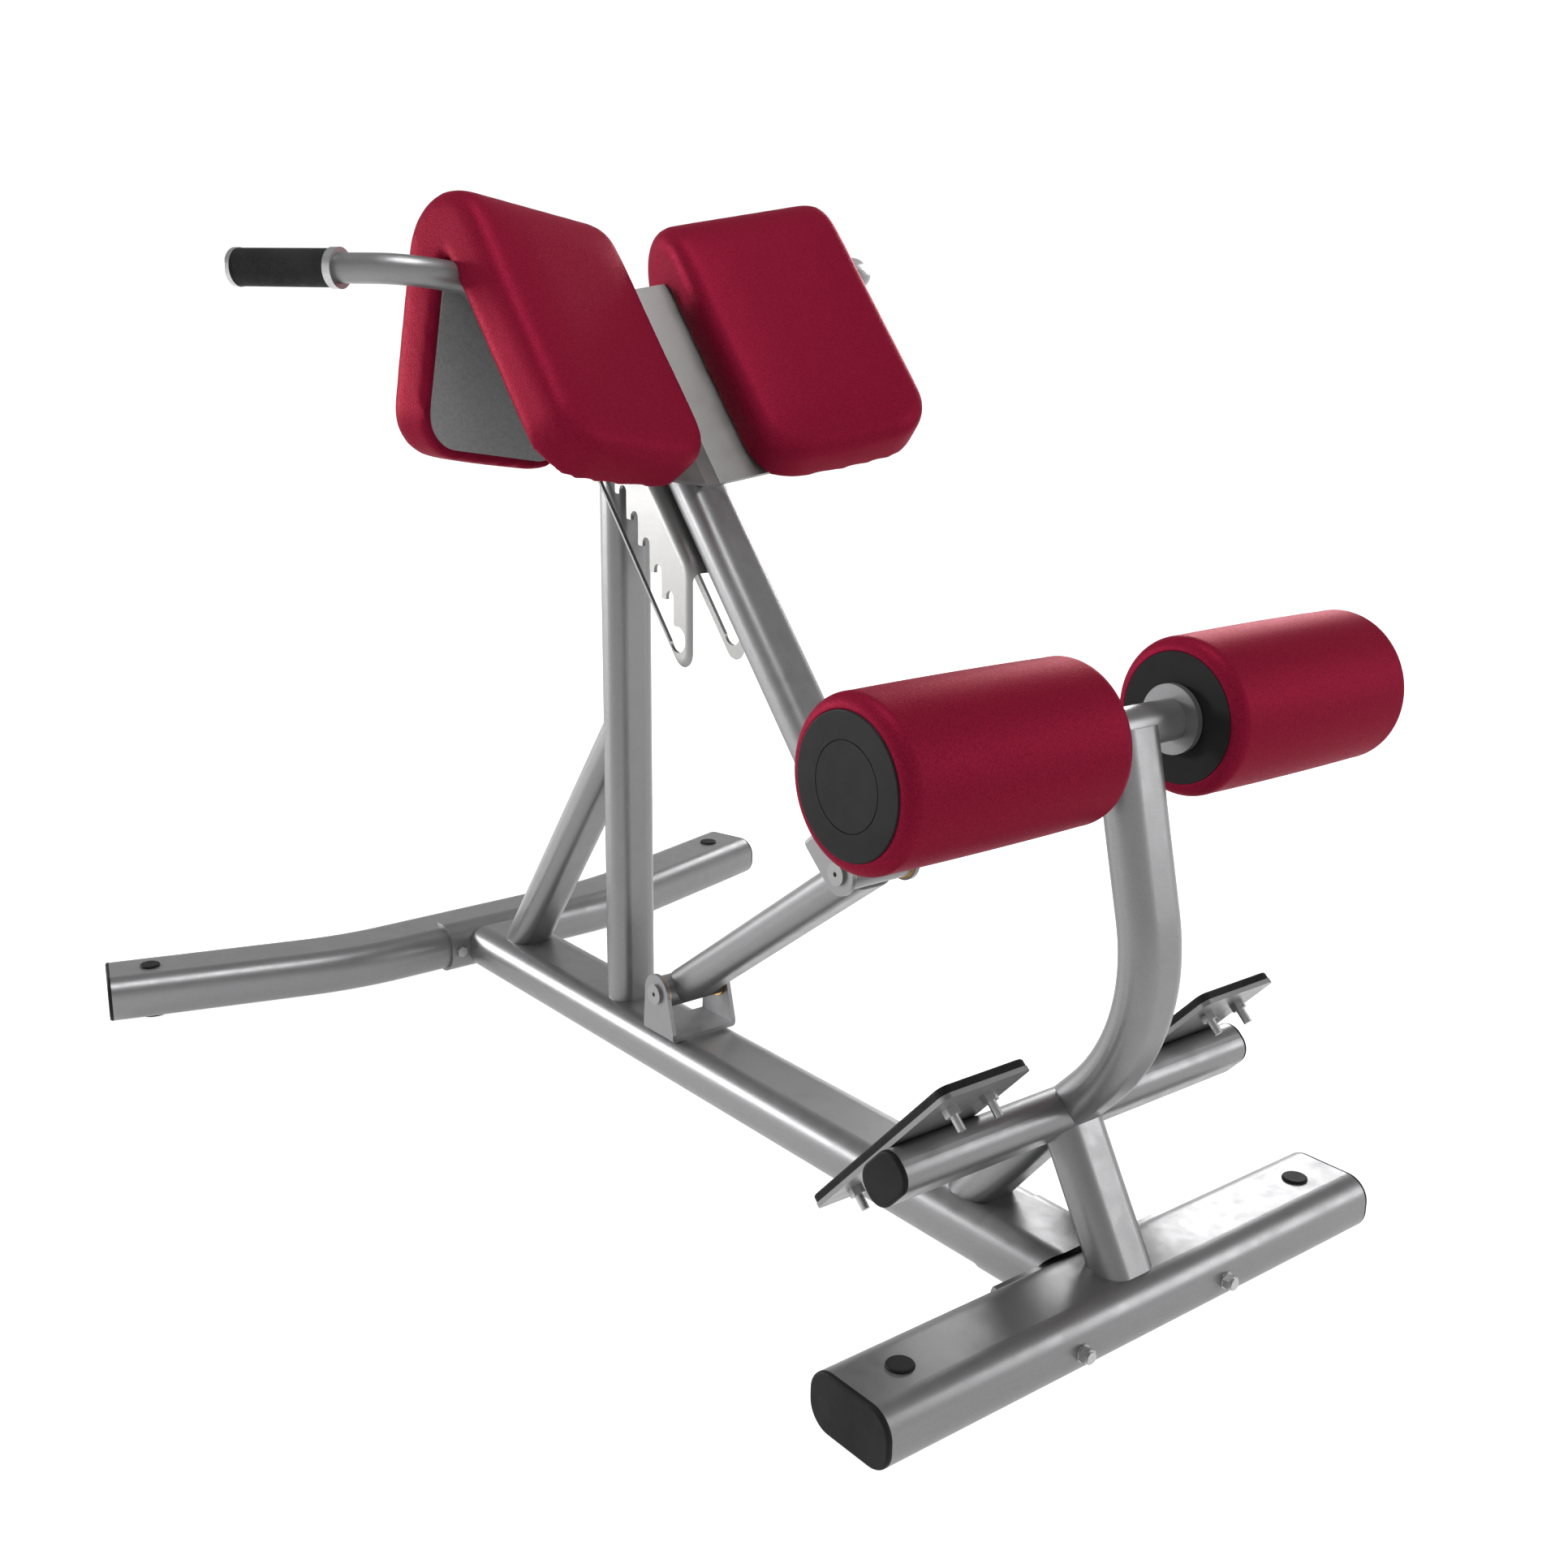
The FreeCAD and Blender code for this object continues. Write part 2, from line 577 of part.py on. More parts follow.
# ---------------------------------------------------------------- front foot and its saddle
sweep_dir = math.radians(dim["front_sweep"])
reach = V(-math.sin(sweep_dir), math.cos(sweep_dir), 0) * dim["front_arm"]
foot_mid = at(dim["front_foot_back"], 0, TUBE_MID)
bend_points = [V(0, side * dim["front_bend_y"], 0) for side in (-1, 1)]
foot_corners = [bend_points[0] + V(reach.x, -reach.y, 0), bend_points[0], bend_points[1], bend_points[1] + reach]
foot_path = bent_path("front_foot_path", foot_corners, ["front_bend_r", "front_bend_r"], foot_mid, Rot())
left_end = foot_mid + foot_corners[0]
right_end = foot_mid + foot_corners[3]
outward = V(reach).normalize()
right_turn = Rot(Z.cross(outward) * -1, Z * -1, outward, "ZXY")
left_outward = V(outward.x, -outward.y, 0)
left_turn = Rot(left_outward.cross(Z) * -1, Z, left_outward, "ZXY")
profile_turn = Rot(Z.cross(left_outward), Z, left_outward * -1, "ZXY")
saddle_points = [at(front_face - 2, side * dim["saddle_bolt_y"], TUBE_MID) for side in (-1, 1)]
saddle_holes = [cylinder("saddle_hole_%d" % index, "bolt_r", "30", point - X * 26, ALONG_X)
                for index, point in enumerate(saddle_points)]
foot_plug_points = [end - away * dim["front_plug_in"] + Z * (dim["floor_tube_t"] / 2)
                    for end, away in ((left_end, left_outward), (right_end, outward))]
foot_holes = [cylinder("foot_plug_hole_%d" % index, "plug_stem", "10", point - Z * 9, Rot())
              for index, point in enumerate(foot_plug_points)]
foot, foot_outer = bent_oval_tube("foot", FLOOR_UPRIGHT, "floor_tube_wall", foot_path, left_end,
                                  profile_turn, saddle_holes + foot_holes)
keep(foot, "front_foot")
keep(group("foot_caps",
           end_cap("foot_cap_left", FLOOR_UPRIGHT, "floor_tube_wall", left_end, left_turn),
           end_cap("foot_cap_right", FLOOR_UPRIGHT, "floor_tube_wall", right_end, right_turn)),
     "front_foot_caps")
keep(group("foot_plugs", *[plug("foot_plug_%d" % index, point)
                           for index, point in enumerate(foot_plug_points)]), "front_foot_plugs")
wrap = oval_bar("saddle_wrap", FLOOR_UPRIGHT, "2 * saddle_half", foot_mid - Y * dim["saddle_half"], ALONG_Y,
                shrink="0 - saddle_t")
above = box("saddle_above", "100", "200", "60", at(dim["front_foot_back"] + 88, -100, TUBE_MID))
behind = box("saddle_behind", "80", "200", "90", at(dim["front_foot_back"] + 104, -100, -10))
keep(cut("saddle", wrap, foot_outer, above, behind, *saddle_holes), "front_saddle")
bolts = []
for index, point in enumerate(saddle_points):
    head = hexagon("saddle_head_%d" % index, "nut_across", "5", point + X * -2, ALONG_X)
    shank = cylinder("saddle_shank_%d" % index, "bolt_r", "24", point - X * 25, ALONG_X)
    bolts.append(fuse("saddle_bolt_%d" % index, head, shank))
keep(group("saddle_bolt_pair", *bolts), "saddle_bolts")
pads = [at(0, side * dim["plug_y"], 0) for side in (-1, 1)]
pads += [V(point.x, point.y, 0) for point in foot_plug_points]
keep(group("rubber_pads", *[cylinder("rubber_pad_%d" % index, "rubber_r", "floor_gap", point, Rot())
                            for index, point in enumerate(pads)]), "rubber_feet")

# ---------------------------------------------------------------- post, brace and cross pin
pin_at = on_arm(567, -96)
pin_hole = cylinder("pin_hole", "rest_pin_r", "2 * rest_pin_half", pin_at - Y * dim["rest_pin_half"])
post, post_outer = oval_tube("post_tube", STRUT, "strut_wall", "post_top - floor_gap - floor_tube_t / 2",
                             at(dim["post_back"], 0, TUBE_MID), Rot(), [beam_outer, pin_hole])
keep(post, "post")
cap_end = at(dim["post_back"], 0, dim["post_top"])
keep(end_cap("post_top_cap", STRUT, "strut_wall", cap_end, Rot()), "post_cap")
brace_dir = in_plane(dim["brace_slope"])
brace_reach = (dim["brace_foot_back"] - dim["post_back"]) / brace_dir.x
brace, brace_outer = oval_tube("brace", STRUT, "strut_wall", "%.3f" % (brace_reach + 34),
                               at(dim["brace_foot_back"], 0, TUBE_TOP) - brace_dir * 34,
                               axes(Y.cross(brace_dir), Y), [beam_outer, post_outer])
keep(brace, "post_brace")
heads = [cylinder("pin_head_%d" % side, "rest_pin_r + 4", "3",
                  pin_at + Y * (dim["rest_pin_half"] if side > 0 else -dim["rest_pin_half"] - 3))
         for side in (-1, 1)]
shaft = cylinder("pin_shaft", "rest_pin_r", "2 * rest_pin_half", pin_at - Y * dim["rest_pin_half"])
keep(fuse("pin", shaft, *heads), "rest_pin")


# ---------------------------------------------------------------- the two U-brackets, axles and link
def u_bracket(node, foot_back, foot_front, position, rotation):
    """Bent plate: a base with two ears; local Z points from the base to the pivot, local X forward."""
    height = dim["bracket_height"]
    ear = dim["ear_r"]
    corners = [(foot_back, "0"), (foot_front, "0"), (foot_front, "ear_t + 4"),
               ("ear_r - 0.8", "bracket_height + 4"), ("0.8 - ear_r", "bracket_height + 4"),
               (foot_back, "ear_t + 4")]
    side_view = polygon_section(node + "_side_view", corners)
    block = move(extrude(node + "_block", side_view, "2 * ear_half"), V(0, dim["ear_half"], 0), Rot(X, 90))
    upper = cylinder(node + "_eye", "ear_r", "2 * ear_half", V(0, -dim["ear_half"], height))
    whole = fuse(node + "_whole", block, upper)
    trim = box(node + "_above", "100", "200", "40", V(-50, -100, height))
    rounded = fuse(node + "_rounded", cut(node + "_flat", whole, trim),
                   cylinder(node + "_top", "ear_r", "2 * ear_half", V(0, -dim["ear_half"], height)))
    inside = box(node + "_inside", "140", "2 * ( ear_half - ear_t )", "140",
                 V(-70, dim["ear_t"] - dim["ear_half"], dim["ear_t"]))
    hole = cylinder(node + "_hole", "pivot_r", "200", V(0, -100, height))
    folded = cut(node + "_folded", rounded, inside, hole)
    edges = [V(0, side * dim["ear_half"], 0) for side in (-1, 1)]
    soft = round_edges(node + "_soft", folded, 4.5,
                       lambda edge: any(near_line(edge, point, X) for point in edges))
    placed = group(node + "_placed", soft)
    return move(placed, position, rotation)


def axle(node, pivot):
    """Pivot axle with a low disc head on each side, each with a hexagon socket."""
    half = dim["ear_half"]
    shaft = cylinder(node + "_shaft", "pivot_r", "2 * ear_half", pivot - Y * half)
    discs = [cylinder("%s_disc_%d" % (node, side), "head_r", "head_t",
                      pivot + Y * (half if side > 0 else -half - dim["head_t"])) for side in (-1, 1)]
    sockets = [hexagon("%s_socket_%d" % (node, side), "5", "3",
                       pivot + Y * (half + 1 if side > 0 else -half - 4)) for side in (-1, 1)]
    return cut(node, fuse(node + "_body", shaft, *discs), *sockets)


def barrel(node, pivot):
    """Tube across the link that turns on the axle. Returns the barrel and its solid outside."""
    half = dim["barrel_half"]
    outer = cylinder(node + "_outer", "barrel_r", "2 * barrel_half", pivot - Y * half)
    bore = cylinder(node + "_bore", "pivot_r + pivot_gap", "2 * barrel_half", pivot - Y * half)
    return cut(node, outer, bore), outer


def washers(node, pivot):
    rings = []
    for side in (-1, 1):
        point = pivot + Y * (dim["barrel_half"] if side > 0 else -dim["barrel_half"] - dim["washer_t"])
        disc = cylinder("%s_disc_%d" % (node, side), "washer_r", "washer_t", point)
        bore = cylinder("%s_bore_%d" % (node, side), "pivot_r + pivot_gap", "washer_t", point)
        rings.append(cut("%s_ring_%d" % (node, side), disc, bore))
    return group(node, *rings)


keep(u_bracket("lower_u", "0 - 26", "34", V(LOWER_PIVOT.x, 0, TUBE_TOP), Rot()), "lower_bracket")
fork_turn = Rot(ARM_OUT, Y * -1, ARM_UP * -1, "ZXY")
keep(u_bracket("upper_u", "0 - 28", "28", on_arm(dim["bracket_height"]), fork_turn), "upper_fork")
keep(axle("lower_axle", LOWER_PIVOT), "lower_pivot_bolt")
keep(axle("upper_axle", UPPER_PIVOT), "upper_pivot_bolt")
lower_barrel, lower_round = barrel("lower_hub", LOWER_PIVOT)
upper_barrel, upper_round = barrel("upper_hub", UPPER_PIVOT)
keep(lower_barrel, "lower_barrel")
keep(upper_barrel, "upper_barrel")
keep(washers("lower_thrust", LOWER_PIVOT), "lower_washers")
keep(washers("upper_thrust", UPPER_PIVOT), "upper_washers")
link_dir = (UPPER_PIVOT - LOWER_PIVOT).normalize()
link_length = (UPPER_PIVOT - LOWER_PIVOT).Length - 2 * dim["link_end"]
link, link_outer = oval_tube("link", STRUT, "strut_wall", "%.3f" % link_length,
                             LOWER_PIVOT + link_dir * dim["link_end"], axes(Y.cross(link_dir), Y),
                             [lower_round, upper_round])
keep(link, "swing_link")

# ---------------------------------------------------------------- handlebar path, then the pad arm
GRIP_SWEEP = math.radians(dim["grip_sweep"])


def on_grip(side, distance):
    """Point on a grip's axis, from the corner of the handlebar; side is 1 on the right and -1 on the left."""
    corner = at(dim["grip_corner_back"], side * dim["grip_corner_y"], dim["grip_z"])
    return corner + grip_out(side) * distance


def grip_out(side):
    return V(-math.sin(GRIP_SWEEP), side * math.cos(GRIP_SWEEP), 0)


grip_tip = on_grip(1, dim["grip_end"])
handle_right = [grip_tip, on_grip(1, 0), at(723, 229.5, 911), at(727, 192, 880)]
handle_corners = handle_right + [at(765, 0, 848)] + [V(p.x, -p.y, p.z) for p in reversed(handle_right)]
handle_edges = [Part.LineSegment(*points).toShape() if len(points) == 2 else Part.Arc(*points).toShape()
                for points in bends(handle_corners, [70, 30, 60, 100, 60, 30, 70])]
handle_path = doc.addObject("Part::Feature", "handle_path")
handle_path.Shape = Part.Wire(handle_edges)


def handle_solid(name, radius):
    profile = doc.addObject("Sketcher::SketchObject", name + "_profile")
    profile.addGeometry(Part.Circle(V(0, 0, 0), Z, number(radius)), False)
    place = profile.addConstraint(Sketcher.Constraint("Radius", 0, number(radius)))
    profile.setExpression("Constraints[%d]" % place, with_sheet(radius))
    profile.addConstraint(Sketcher.Constraint("Coincident", 0, 3, -1, 1))
    move(profile, grip_tip, Rot(Z, grip_out(1)))
    return sweep(name, profile, handle_path)


handle_outer = handle_solid("handle_outer", "handle_r")
handle_bore = handle_solid("handle_bore", "handle_r - handle_wall")
handle_room = handle_solid("handle_room", "handle_r + 1.5")
keep(cut("handle", handle_outer, handle_bore), "handlebar")
arm_turn = axes(Y.cross(ARM_UP), Y)
arm, arm_outer = oval_tube("arm", STRUT, "strut_wall", "arm_top - bracket_height",
                           on_arm(dim["bracket_height"]), arm_turn, [handle_outer])
keep(arm, "pad_arm")

grips = []
rings = []
flanges = []
for side in (-1, 1):
    outward = grip_out(side)
    inner = on_grip(side, dim["grip_start"])
    outer = on_grip(side, dim["grip_end"])
    turn = Rot(Z, outward)
    grips.append(cut("grip_tube_%d" % side,
                     cylinder("grip_body_%d" % side, "grip_r", "grip_end - grip_start", inner, turn),
                     cylinder("grip_bore_%d" % side, "handle_r", "grip_end - grip_start", inner, turn)))
    ring_at = inner - outward * dim["collar_t"]
    rings.append(cut("collar_%d" % side, cylinder("collar_body_%d" % side, "collar_r", "collar_t", ring_at, turn),
                     cylinder("collar_bore_%d" % side, "handle_r", "collar_t", ring_at, turn)))
    disc = cylinder("end_disc_%d" % side, "end_flange_r", "end_flange_t", outer, turn)
    rim = outer + outward * dim["end_flange_t"]
    flanges.append(round_edges("end_soft_%d" % side, disc, 1.5,
                               lambda edge: abs((edge.CenterOfMass - rim).dot(outward)) < 0.01
                               and edge.Curve.TypeId == "Part::GeomCircle"))
keep(group("grip_pair", *grips), "grips")
keep(group("collar_pair", *rings), "grip_collars")
keep(group("end_flange_pair", *flanges), "grip_end_flanges")

# ---------------------------------------------------------------- notch plates, one folded channel
side_view = polygon_section("channel_side_view", [("plate_top", "strut_t / 2"), ("plate_top", "plate_edge"),
                                                  ("plate_tip", "plate_edge"), ("plate_heel", "strut_t / 2")])
blank = move(extrude("channel_blank", side_view, "2 * plate_half"), on_arm(0, 0, dim["plate_half"]), BELOW_ROT)


def below_arm(along, below):
    return on_arm(along, -below)


for name, corner, radius in (("channel_soft_a", (dim["plate_top"], dim["plate_edge"]), 16),
                             ("channel_soft_b", (dim["plate_tip"], dim["plate_edge"]), 21),
                             ("channel_soft_c", (dim["plate_heel"], dim["strut_t"] / 2), 40)):
    line = below_arm(*corner)
    blank = round_edges(name, blank, radius, lambda edge: near_line(edge, line, Y))
web_edges = [below_arm(0, dim["strut_t"] / 2) + Y * (side * dim["plate_half"]) for side in (-1, 1)]
blank = round_edges("channel_bend", blank, dim["plate_bend"],
                    lambda edge: any(near_line(edge, point, ARM_UP) for point in web_edges))
inside = box("channel_inside", "500", "140", "2 * ( plate_half - plate_t )",
             below_arm(200, dim["strut_t"] / 2 + dim["plate_t"]) + Y * (dim["plate_half"] - dim["plate_t"]),
             BELOW_ROT)
middle = (dim["slot_inner"] + dim["slot_outer"]) / 2
half_slot = "( slot_outer - slot_inner ) / 2"
slot_tools = [box("slot_run", "slot_high - slot_low", "slot_outer - slot_inner", "200",
                  below_arm(dim["slot_low"], dim["slot_inner"]) + Y * 100, BELOW_ROT),
              cylinder("slot_top", half_slot, "200", below_arm(dim["slot_high"], middle) - Y * 100),
              cylinder("slot_entry", "entry_r", "200", below_arm(dim["slot_low"], middle - 4) - Y * 100)]
# each notch stands upright when the pads are all the way down: a hook above the slot
first_notch = at(644.2, 0, 589)
step = V(-0.6494, 0, 0.7604) * dim["notch_pitch"]
for index in range(6):
    top = first_notch + step * index
    half = dim["notch_w"] / 2
    column = box("notch_%d" % index, "notch_w", "200", "notch_h",
                 top + V(-half, -100, -half - dim["notch_h"]))
    crown = cylinder("notch_crown_%d" % index, "notch_w / 2", "200", top - Z * half - Y * 100)
    under = box("notch_under_%d" % index, "notch_w", "200", "20", top + V(-half - 8.5, -100, -10.3 - 20))
    slot_tools += [column, crown, under]
channel_tool = fuse("channel_openings", *slot_tools)
inner_edges = [below_arm(0, dim["strut_t"] / 2 + dim["plate_t"]) + Y * (side * (dim["plate_half"] - dim["plate_t"]))
               for side in (-1, 1)]
inside = round_edges("channel_inside_bend", inside, dim["plate_bend"] - dim["plate_t"],
                     lambda edge: any(near_line(edge, point, ARM_UP) for point in inner_edges))
keep(cut("channel", blank, inside, channel_tool), "notch_plates")

# ---------------------------------------------------------------- pads, boards and their bracket
fold_x = math.tan((math.pi - FOLD) / 2)


def folded(name, low, hang, inner, outer, width, across):
    """Right-hand folded strip, width across the pad's face, starting at the distance across."""
    def corner(distance):
        return ("pad_apex + ( %s ) * %.6f" % (distance, fold_x), "pad_back + %s" % distance)

    def tail(distance):
        return ("pad_apex + ( %s ) * %.6f - ( %s ) * %.6f" % (distance, HANG_OUT[0], hang, -HANG_DOWN[0]),
                "pad_back + ( %s ) * ( 0 - %.6f ) - ( %s ) * %.6f" % (distance, -HANG_OUT[1], hang, -HANG_DOWN[1]))

    corners = [(low, "pad_back + %s" % inner), corner(inner), tail(inner), tail(outer), corner(outer),
               (low, "pad_back + %s" % outer)]
    section = polygon_section(name + "_section", corners)
    return move(extrude(name, section, width), on_pad(0, 0, across), PAD_ROT)


def pad_line(along, out):
    return on_pad(along, out, 0)


low_s = dim["pad_low"]
back_m = dim["pad_back"]
thick = dim["pad_thick"]
slab = folded("pad_blank", "pad_low", "pad_hang", "0", "pad_thick", "pad_width", dim["pad_inner"])
outer_corner = pad_line(dim["pad_apex"] + thick * fold_x, back_m + thick)
slab = round_edges("pad_fold_soft", slab, thick, lambda edge: near_line(edge, outer_corner, PAD_ACROSS))
tail_out = ARM_UP * HANG_OUT[0] + PAD_OUT * HANG_OUT[1]
tail_down = ARM_UP * HANG_DOWN[0] + PAD_OUT * HANG_DOWN[1]
tail_end = pad_line(dim["pad_apex"], back_m) + tail_down * dim["pad_hang"]


def low_corner(edge):
    """Edges through the thickness at the two free ends of the pad."""
    at_low = straight(edge, PAD_OUT) and abs((edge.CenterOfMass - on_pad(low_s, 0, 0)).dot(ARM_UP)) < 0.01
    at_tail = straight(edge, tail_out) and abs((edge.CenterOfMass - tail_end).dot(tail_down)) < 0.01
    return at_low or at_tail


slab = round_edges("pad_corner_soft", slab, dim["pad_corner"], low_corner)


def face_edge(edge):
    """Edges round the outer face of the pad."""
    samples = [edge.valueAt(edge.FirstParameter + part * (edge.LastParameter - edge.FirstParameter))
               for part in (0.1, 0.5, 0.9)]
    centre = pad_line(dim["pad_apex"], back_m)
    for point in samples:
        rel = point - centre
        on_user = abs(rel.dot(PAD_OUT) - thick) < 0.05
        on_tail = abs(rel.dot(tail_out) - thick) < 0.05
        flat = rel - PAD_ACROSS * rel.dot(PAD_ACROSS)
        on_bend = abs(flat.Length - thick) < 0.05
        if not (on_user or on_tail or on_bend):
            return False
    return not straight(edge, PAD_ACROSS) or abs((edge.CenterOfMass - centre).dot(ARM_UP)) > 60


slab = round_edges("pad_edge_soft", slab, dim["pad_edge"], face_edge)
board = folded("board_blank", "pad_low + board_inset", "pad_hang - board_inset", "0", "board_t",
               "pad_width - 2 * board_inset", dim["pad_inner"] + dim["board_inset"])
board_room = folded("board_room", "pad_low + board_inset", "pad_hang - board_inset", "0 - 5", "board_t",
                    "pad_width - 2 * board_inset", dim["pad_inner"] + dim["board_inset"])


def board_corner(edge):
    """Edges through the thickness at the free ends of a board."""
    end = tail_end - tail_down * dim["board_inset"]
    at_low = (straight(edge, PAD_OUT)
              and abs((edge.CenterOfMass - on_pad(low_s + dim["board_inset"], 0, 0)).dot(ARM_UP)) < 0.01)
    at_tail = straight(edge, tail_out) and abs((edge.CenterOfMass - end).dot(tail_down)) < 0.01
    return at_low or at_tail


board_radius = dim["pad_corner"] - dim["board_inset"]
board = round_edges("board_soft", board, board_radius, board_corner)
board_room = round_edges("board_room_soft", board_room, board_radius, board_corner)
screw_points = [on_pad(along, dim["pad_back"] - dim["bracket_sheet"], 78) for along in (475, 600)]
into_pad = Rot(Z, PAD_OUT)
screw_holes = [cylinder("screw_hole_%d" % index, "screw_r", "9.5", point, into_pad)
               for index, point in enumerate(screw_points)]
pad = keep(cut("pad_right", slab, board_room), "hip_pad_right")
board = keep(cut("board_right", board, handle_room, *screw_holes), "pad_board_right")
keep(mirror("pad_left", pad), "hip_pad_left")
keep(mirror("board_left", board), "pad_board_left")
screws = []
for index, point in enumerate(screw_points):
    shank = cylinder("screw_shank_%d" % index, "screw_r", "9.5", point, into_pad)
    dome = cylinder("screw_dome_%d" % index, "screw_head_r", "3", point - PAD_OUT * 3, into_pad)
    screws.append(fuse("screw_%d" % index, shank, dome))
right_screws = group("screws_right", *screws)
keep(group("screws_all", right_screws, mirror("screws_left", right_screws)), "pad_screws")

# centre strip on the arm, a wing under each pad, and a leg folded down behind the hanging part
strip_out = dim["strut_t"] / 2
strip = box("bracket_strip_flat", "pad_apex - bracket_low - 20", "bracket_sheet", "2 * bracket_strip + 1",
            on_arm(dim["bracket_low"], strip_out, -dim["bracket_strip"] - 0.5), axes(ARM_UP, ARM_OUT))
inner_w = 15.5
wing = folded("bracket_wing_right", "bracket_low", "bracket_leg", "0 - bracket_sheet", "0",
              "bracket_wing - %.1f" % inner_w, inner_w)
leg_gap = box("bracket_leg_gap", "240", "240", "60", on_pad(520, dim["pad_back"] - 4 - 240, -24), PAD_ROT)
wing_right = cut("bracket_wing_trim", wing, leg_gap)
whole = fuse("bracket_whole", strip, wing_right, mirror("bracket_wing_left", wing_right))
mirrored_holes = [mirror("screw_hole_left_%d" % index, hole) for index, hole in enumerate(screw_holes)]
keep(cut("bracket", whole, handle_outer, arm_outer, *(screw_holes + mirrored_holes)), "pad_bracket")

# ---------------------------------------------------------------- foot bar, struts and upright
bar_start = FOOT_BAR - Y * dim["foot_bar_half"]
bar_turn = Rot(FOOT_OUT, FOOT_UP, Y, "ZXY")
bar, bar_outer = oval_tube("bar", STRUT, "strut_wall", "2 * foot_bar_half", bar_start, bar_turn)
keep(bar, "foot_bar")
keep(group("bar_caps",
           end_cap("bar_cap_right", STRUT, "strut_wall", FOOT_BAR + Y * dim["foot_bar_half"], bar_turn),
           end_cap("bar_cap_left", STRUT, "strut_wall", bar_start, Rot(FOOT_OUT * -1, FOOT_UP, Y * -1, "ZXY"))),
     "foot_bar_caps")


def foot_strut(node, back, tools):
    """Tube from a floor tube's top up to the foot bar."""
    low = at(back, 0, TUBE_TOP)
    direction = (FOOT_BAR - low).normalize()
    length = (FOOT_BAR - low).Length + 30
    return oval_tube(node, STRUT, "strut_wall", "%.3f" % length, low - direction * 30,
                     axes(Y.cross(direction), Y), tools)


front_strut, front_strut_outer = foot_strut("front_leg", 175, [beam_outer, bar_outer])
keep(front_strut, "front_strut")
rear_strut, rear_strut_outer = foot_strut("rear_leg", -3, [crossbar_outer, bar_outer, front_strut_outer])
keep(rear_strut, "rear_strut")
lean = math.radians(dim["upright_lean"])
upright_dir = V(math.sin(lean), 0, -math.cos(lean))
# the two straight runs of the upright meet where the roller line and the foot plate slope cross
span = FOOT_BAR - ROLLER
bend_at = span.cross(FOOT_UP).Length / upright_dir.cross(FOOT_UP).Length
upright_turn = Rot(X, Z, Y * -1, "ZXY")
local = [upright_turn.inverted().multVec(point) for point in (V(0, 0, 0), upright_dir * bend_at, span)]
upright_path = bent_path("upright_path", local, ["upright_bend"], ROLLER, upright_turn)
axle_half = dim["axle_tube_half"]
axle_outer = cylinder("axle_outer", "axle_tube_r", "2 * axle_tube_half", ROLLER - Y * axle_half)
spindle_hole = cylinder("spindle_hole", "spindle_r", "2 * spindle_half", ROLLER - Y * dim["spindle_half"])
upright, upright_outer = bent_oval_tube("upright", STRUT, "strut_wall", upright_path, ROLLER,
                                        axes(Y.cross(upright_dir), Y),
                                        [axle_outer, bar_outer, rear_strut_outer, front_strut_outer])
keep(upright, "roller_upright")
keep(cut("axle_tube", axle_outer, spindle_hole), "roller_axle_tube")
rings = [cut("axle_ring_%d" % side,
             cylinder("axle_ring_body_%d" % side, "collar_ring_r", "6",
                      ROLLER + Y * (axle_half if side > 0 else -axle_half - 6)), spindle_hole)
         for side in (-1, 1)]
keep(group("axle_rings", *rings), "roller_collars")
keep(cylinder("spindle", "spindle_r", "2 * spindle_half", ROLLER - Y * dim["spindle_half"]), "roller_spindle")

# ---------------------------------------------------------------- rollers
inner_face = ROLLER + Y * dim["roller_in"]
outer_face = ROLLER + Y * dim["roller_out"]
disc_t = dim["disc_t"]
core = cylinder("core_body", "core_r", "roller_out - roller_in - 2 * disc_t", inner_face + Y * disc_t)
core_bore = cylinder("core_bore", "spindle_r + spindle_gap", "300", inner_face - Y * 20)
core = keep(cut("core_right", core, core_bore), "roller_core_right")
foam = cylinder("foam_body", "roller_r", "roller_out - roller_in - 1", inner_face + Y * 0.5)
foam = round_edges("foam_soft", foam, dim["roller_round"], lambda edge: edge.Curve.TypeId == "Part::GeomCircle")
foam_tools = [cylinder("foam_bore", "core_r", "300", inner_face - Y * 20),
              cylinder("foam_seat_in", "disc_r", "disc_t", inner_face),
              cylinder("foam_seat_out", "disc_r", "disc_t", outer_face - Y * disc_t)]
foam = keep(cut("foam_right", foam, *foam_tools), "roller_pad_right")
inner_disc = cut("disc_in_right", cylinder("disc_in", "disc_r", "disc_t", inner_face), core_bore)
outer_disc = cylinder("disc_out", "disc_r", "disc_t + 0.8", outer_face - Y * disc_t)
disc_rim = dim["roller_out"] + 0.8
outer_disc = round_edges("disc_out_soft", outer_disc, 1.2, lambda edge: abs(edge.CenterOfMass.y - disc_rim) < 0.01
                         and edge.Curve.TypeId == "Part::GeomCircle")
groove = cut("hub_groove", cylinder("groove_out", "hub_r + 0.4", "1.5", outer_face - Y * 0.2),
             cylinder("groove_in", "hub_r - 0.4", "1.5", outer_face - Y * 0.2))
discs = keep(group("discs_right", inner_disc, cut("disc_out_right", outer_disc, groove)), "roller_discs_right")
keep(mirror("core_left", core), "roller_core_left")
keep(mirror("foam_left", foam), "roller_pad_left")
keep(mirror("discs_left", discs), "roller_discs_left")

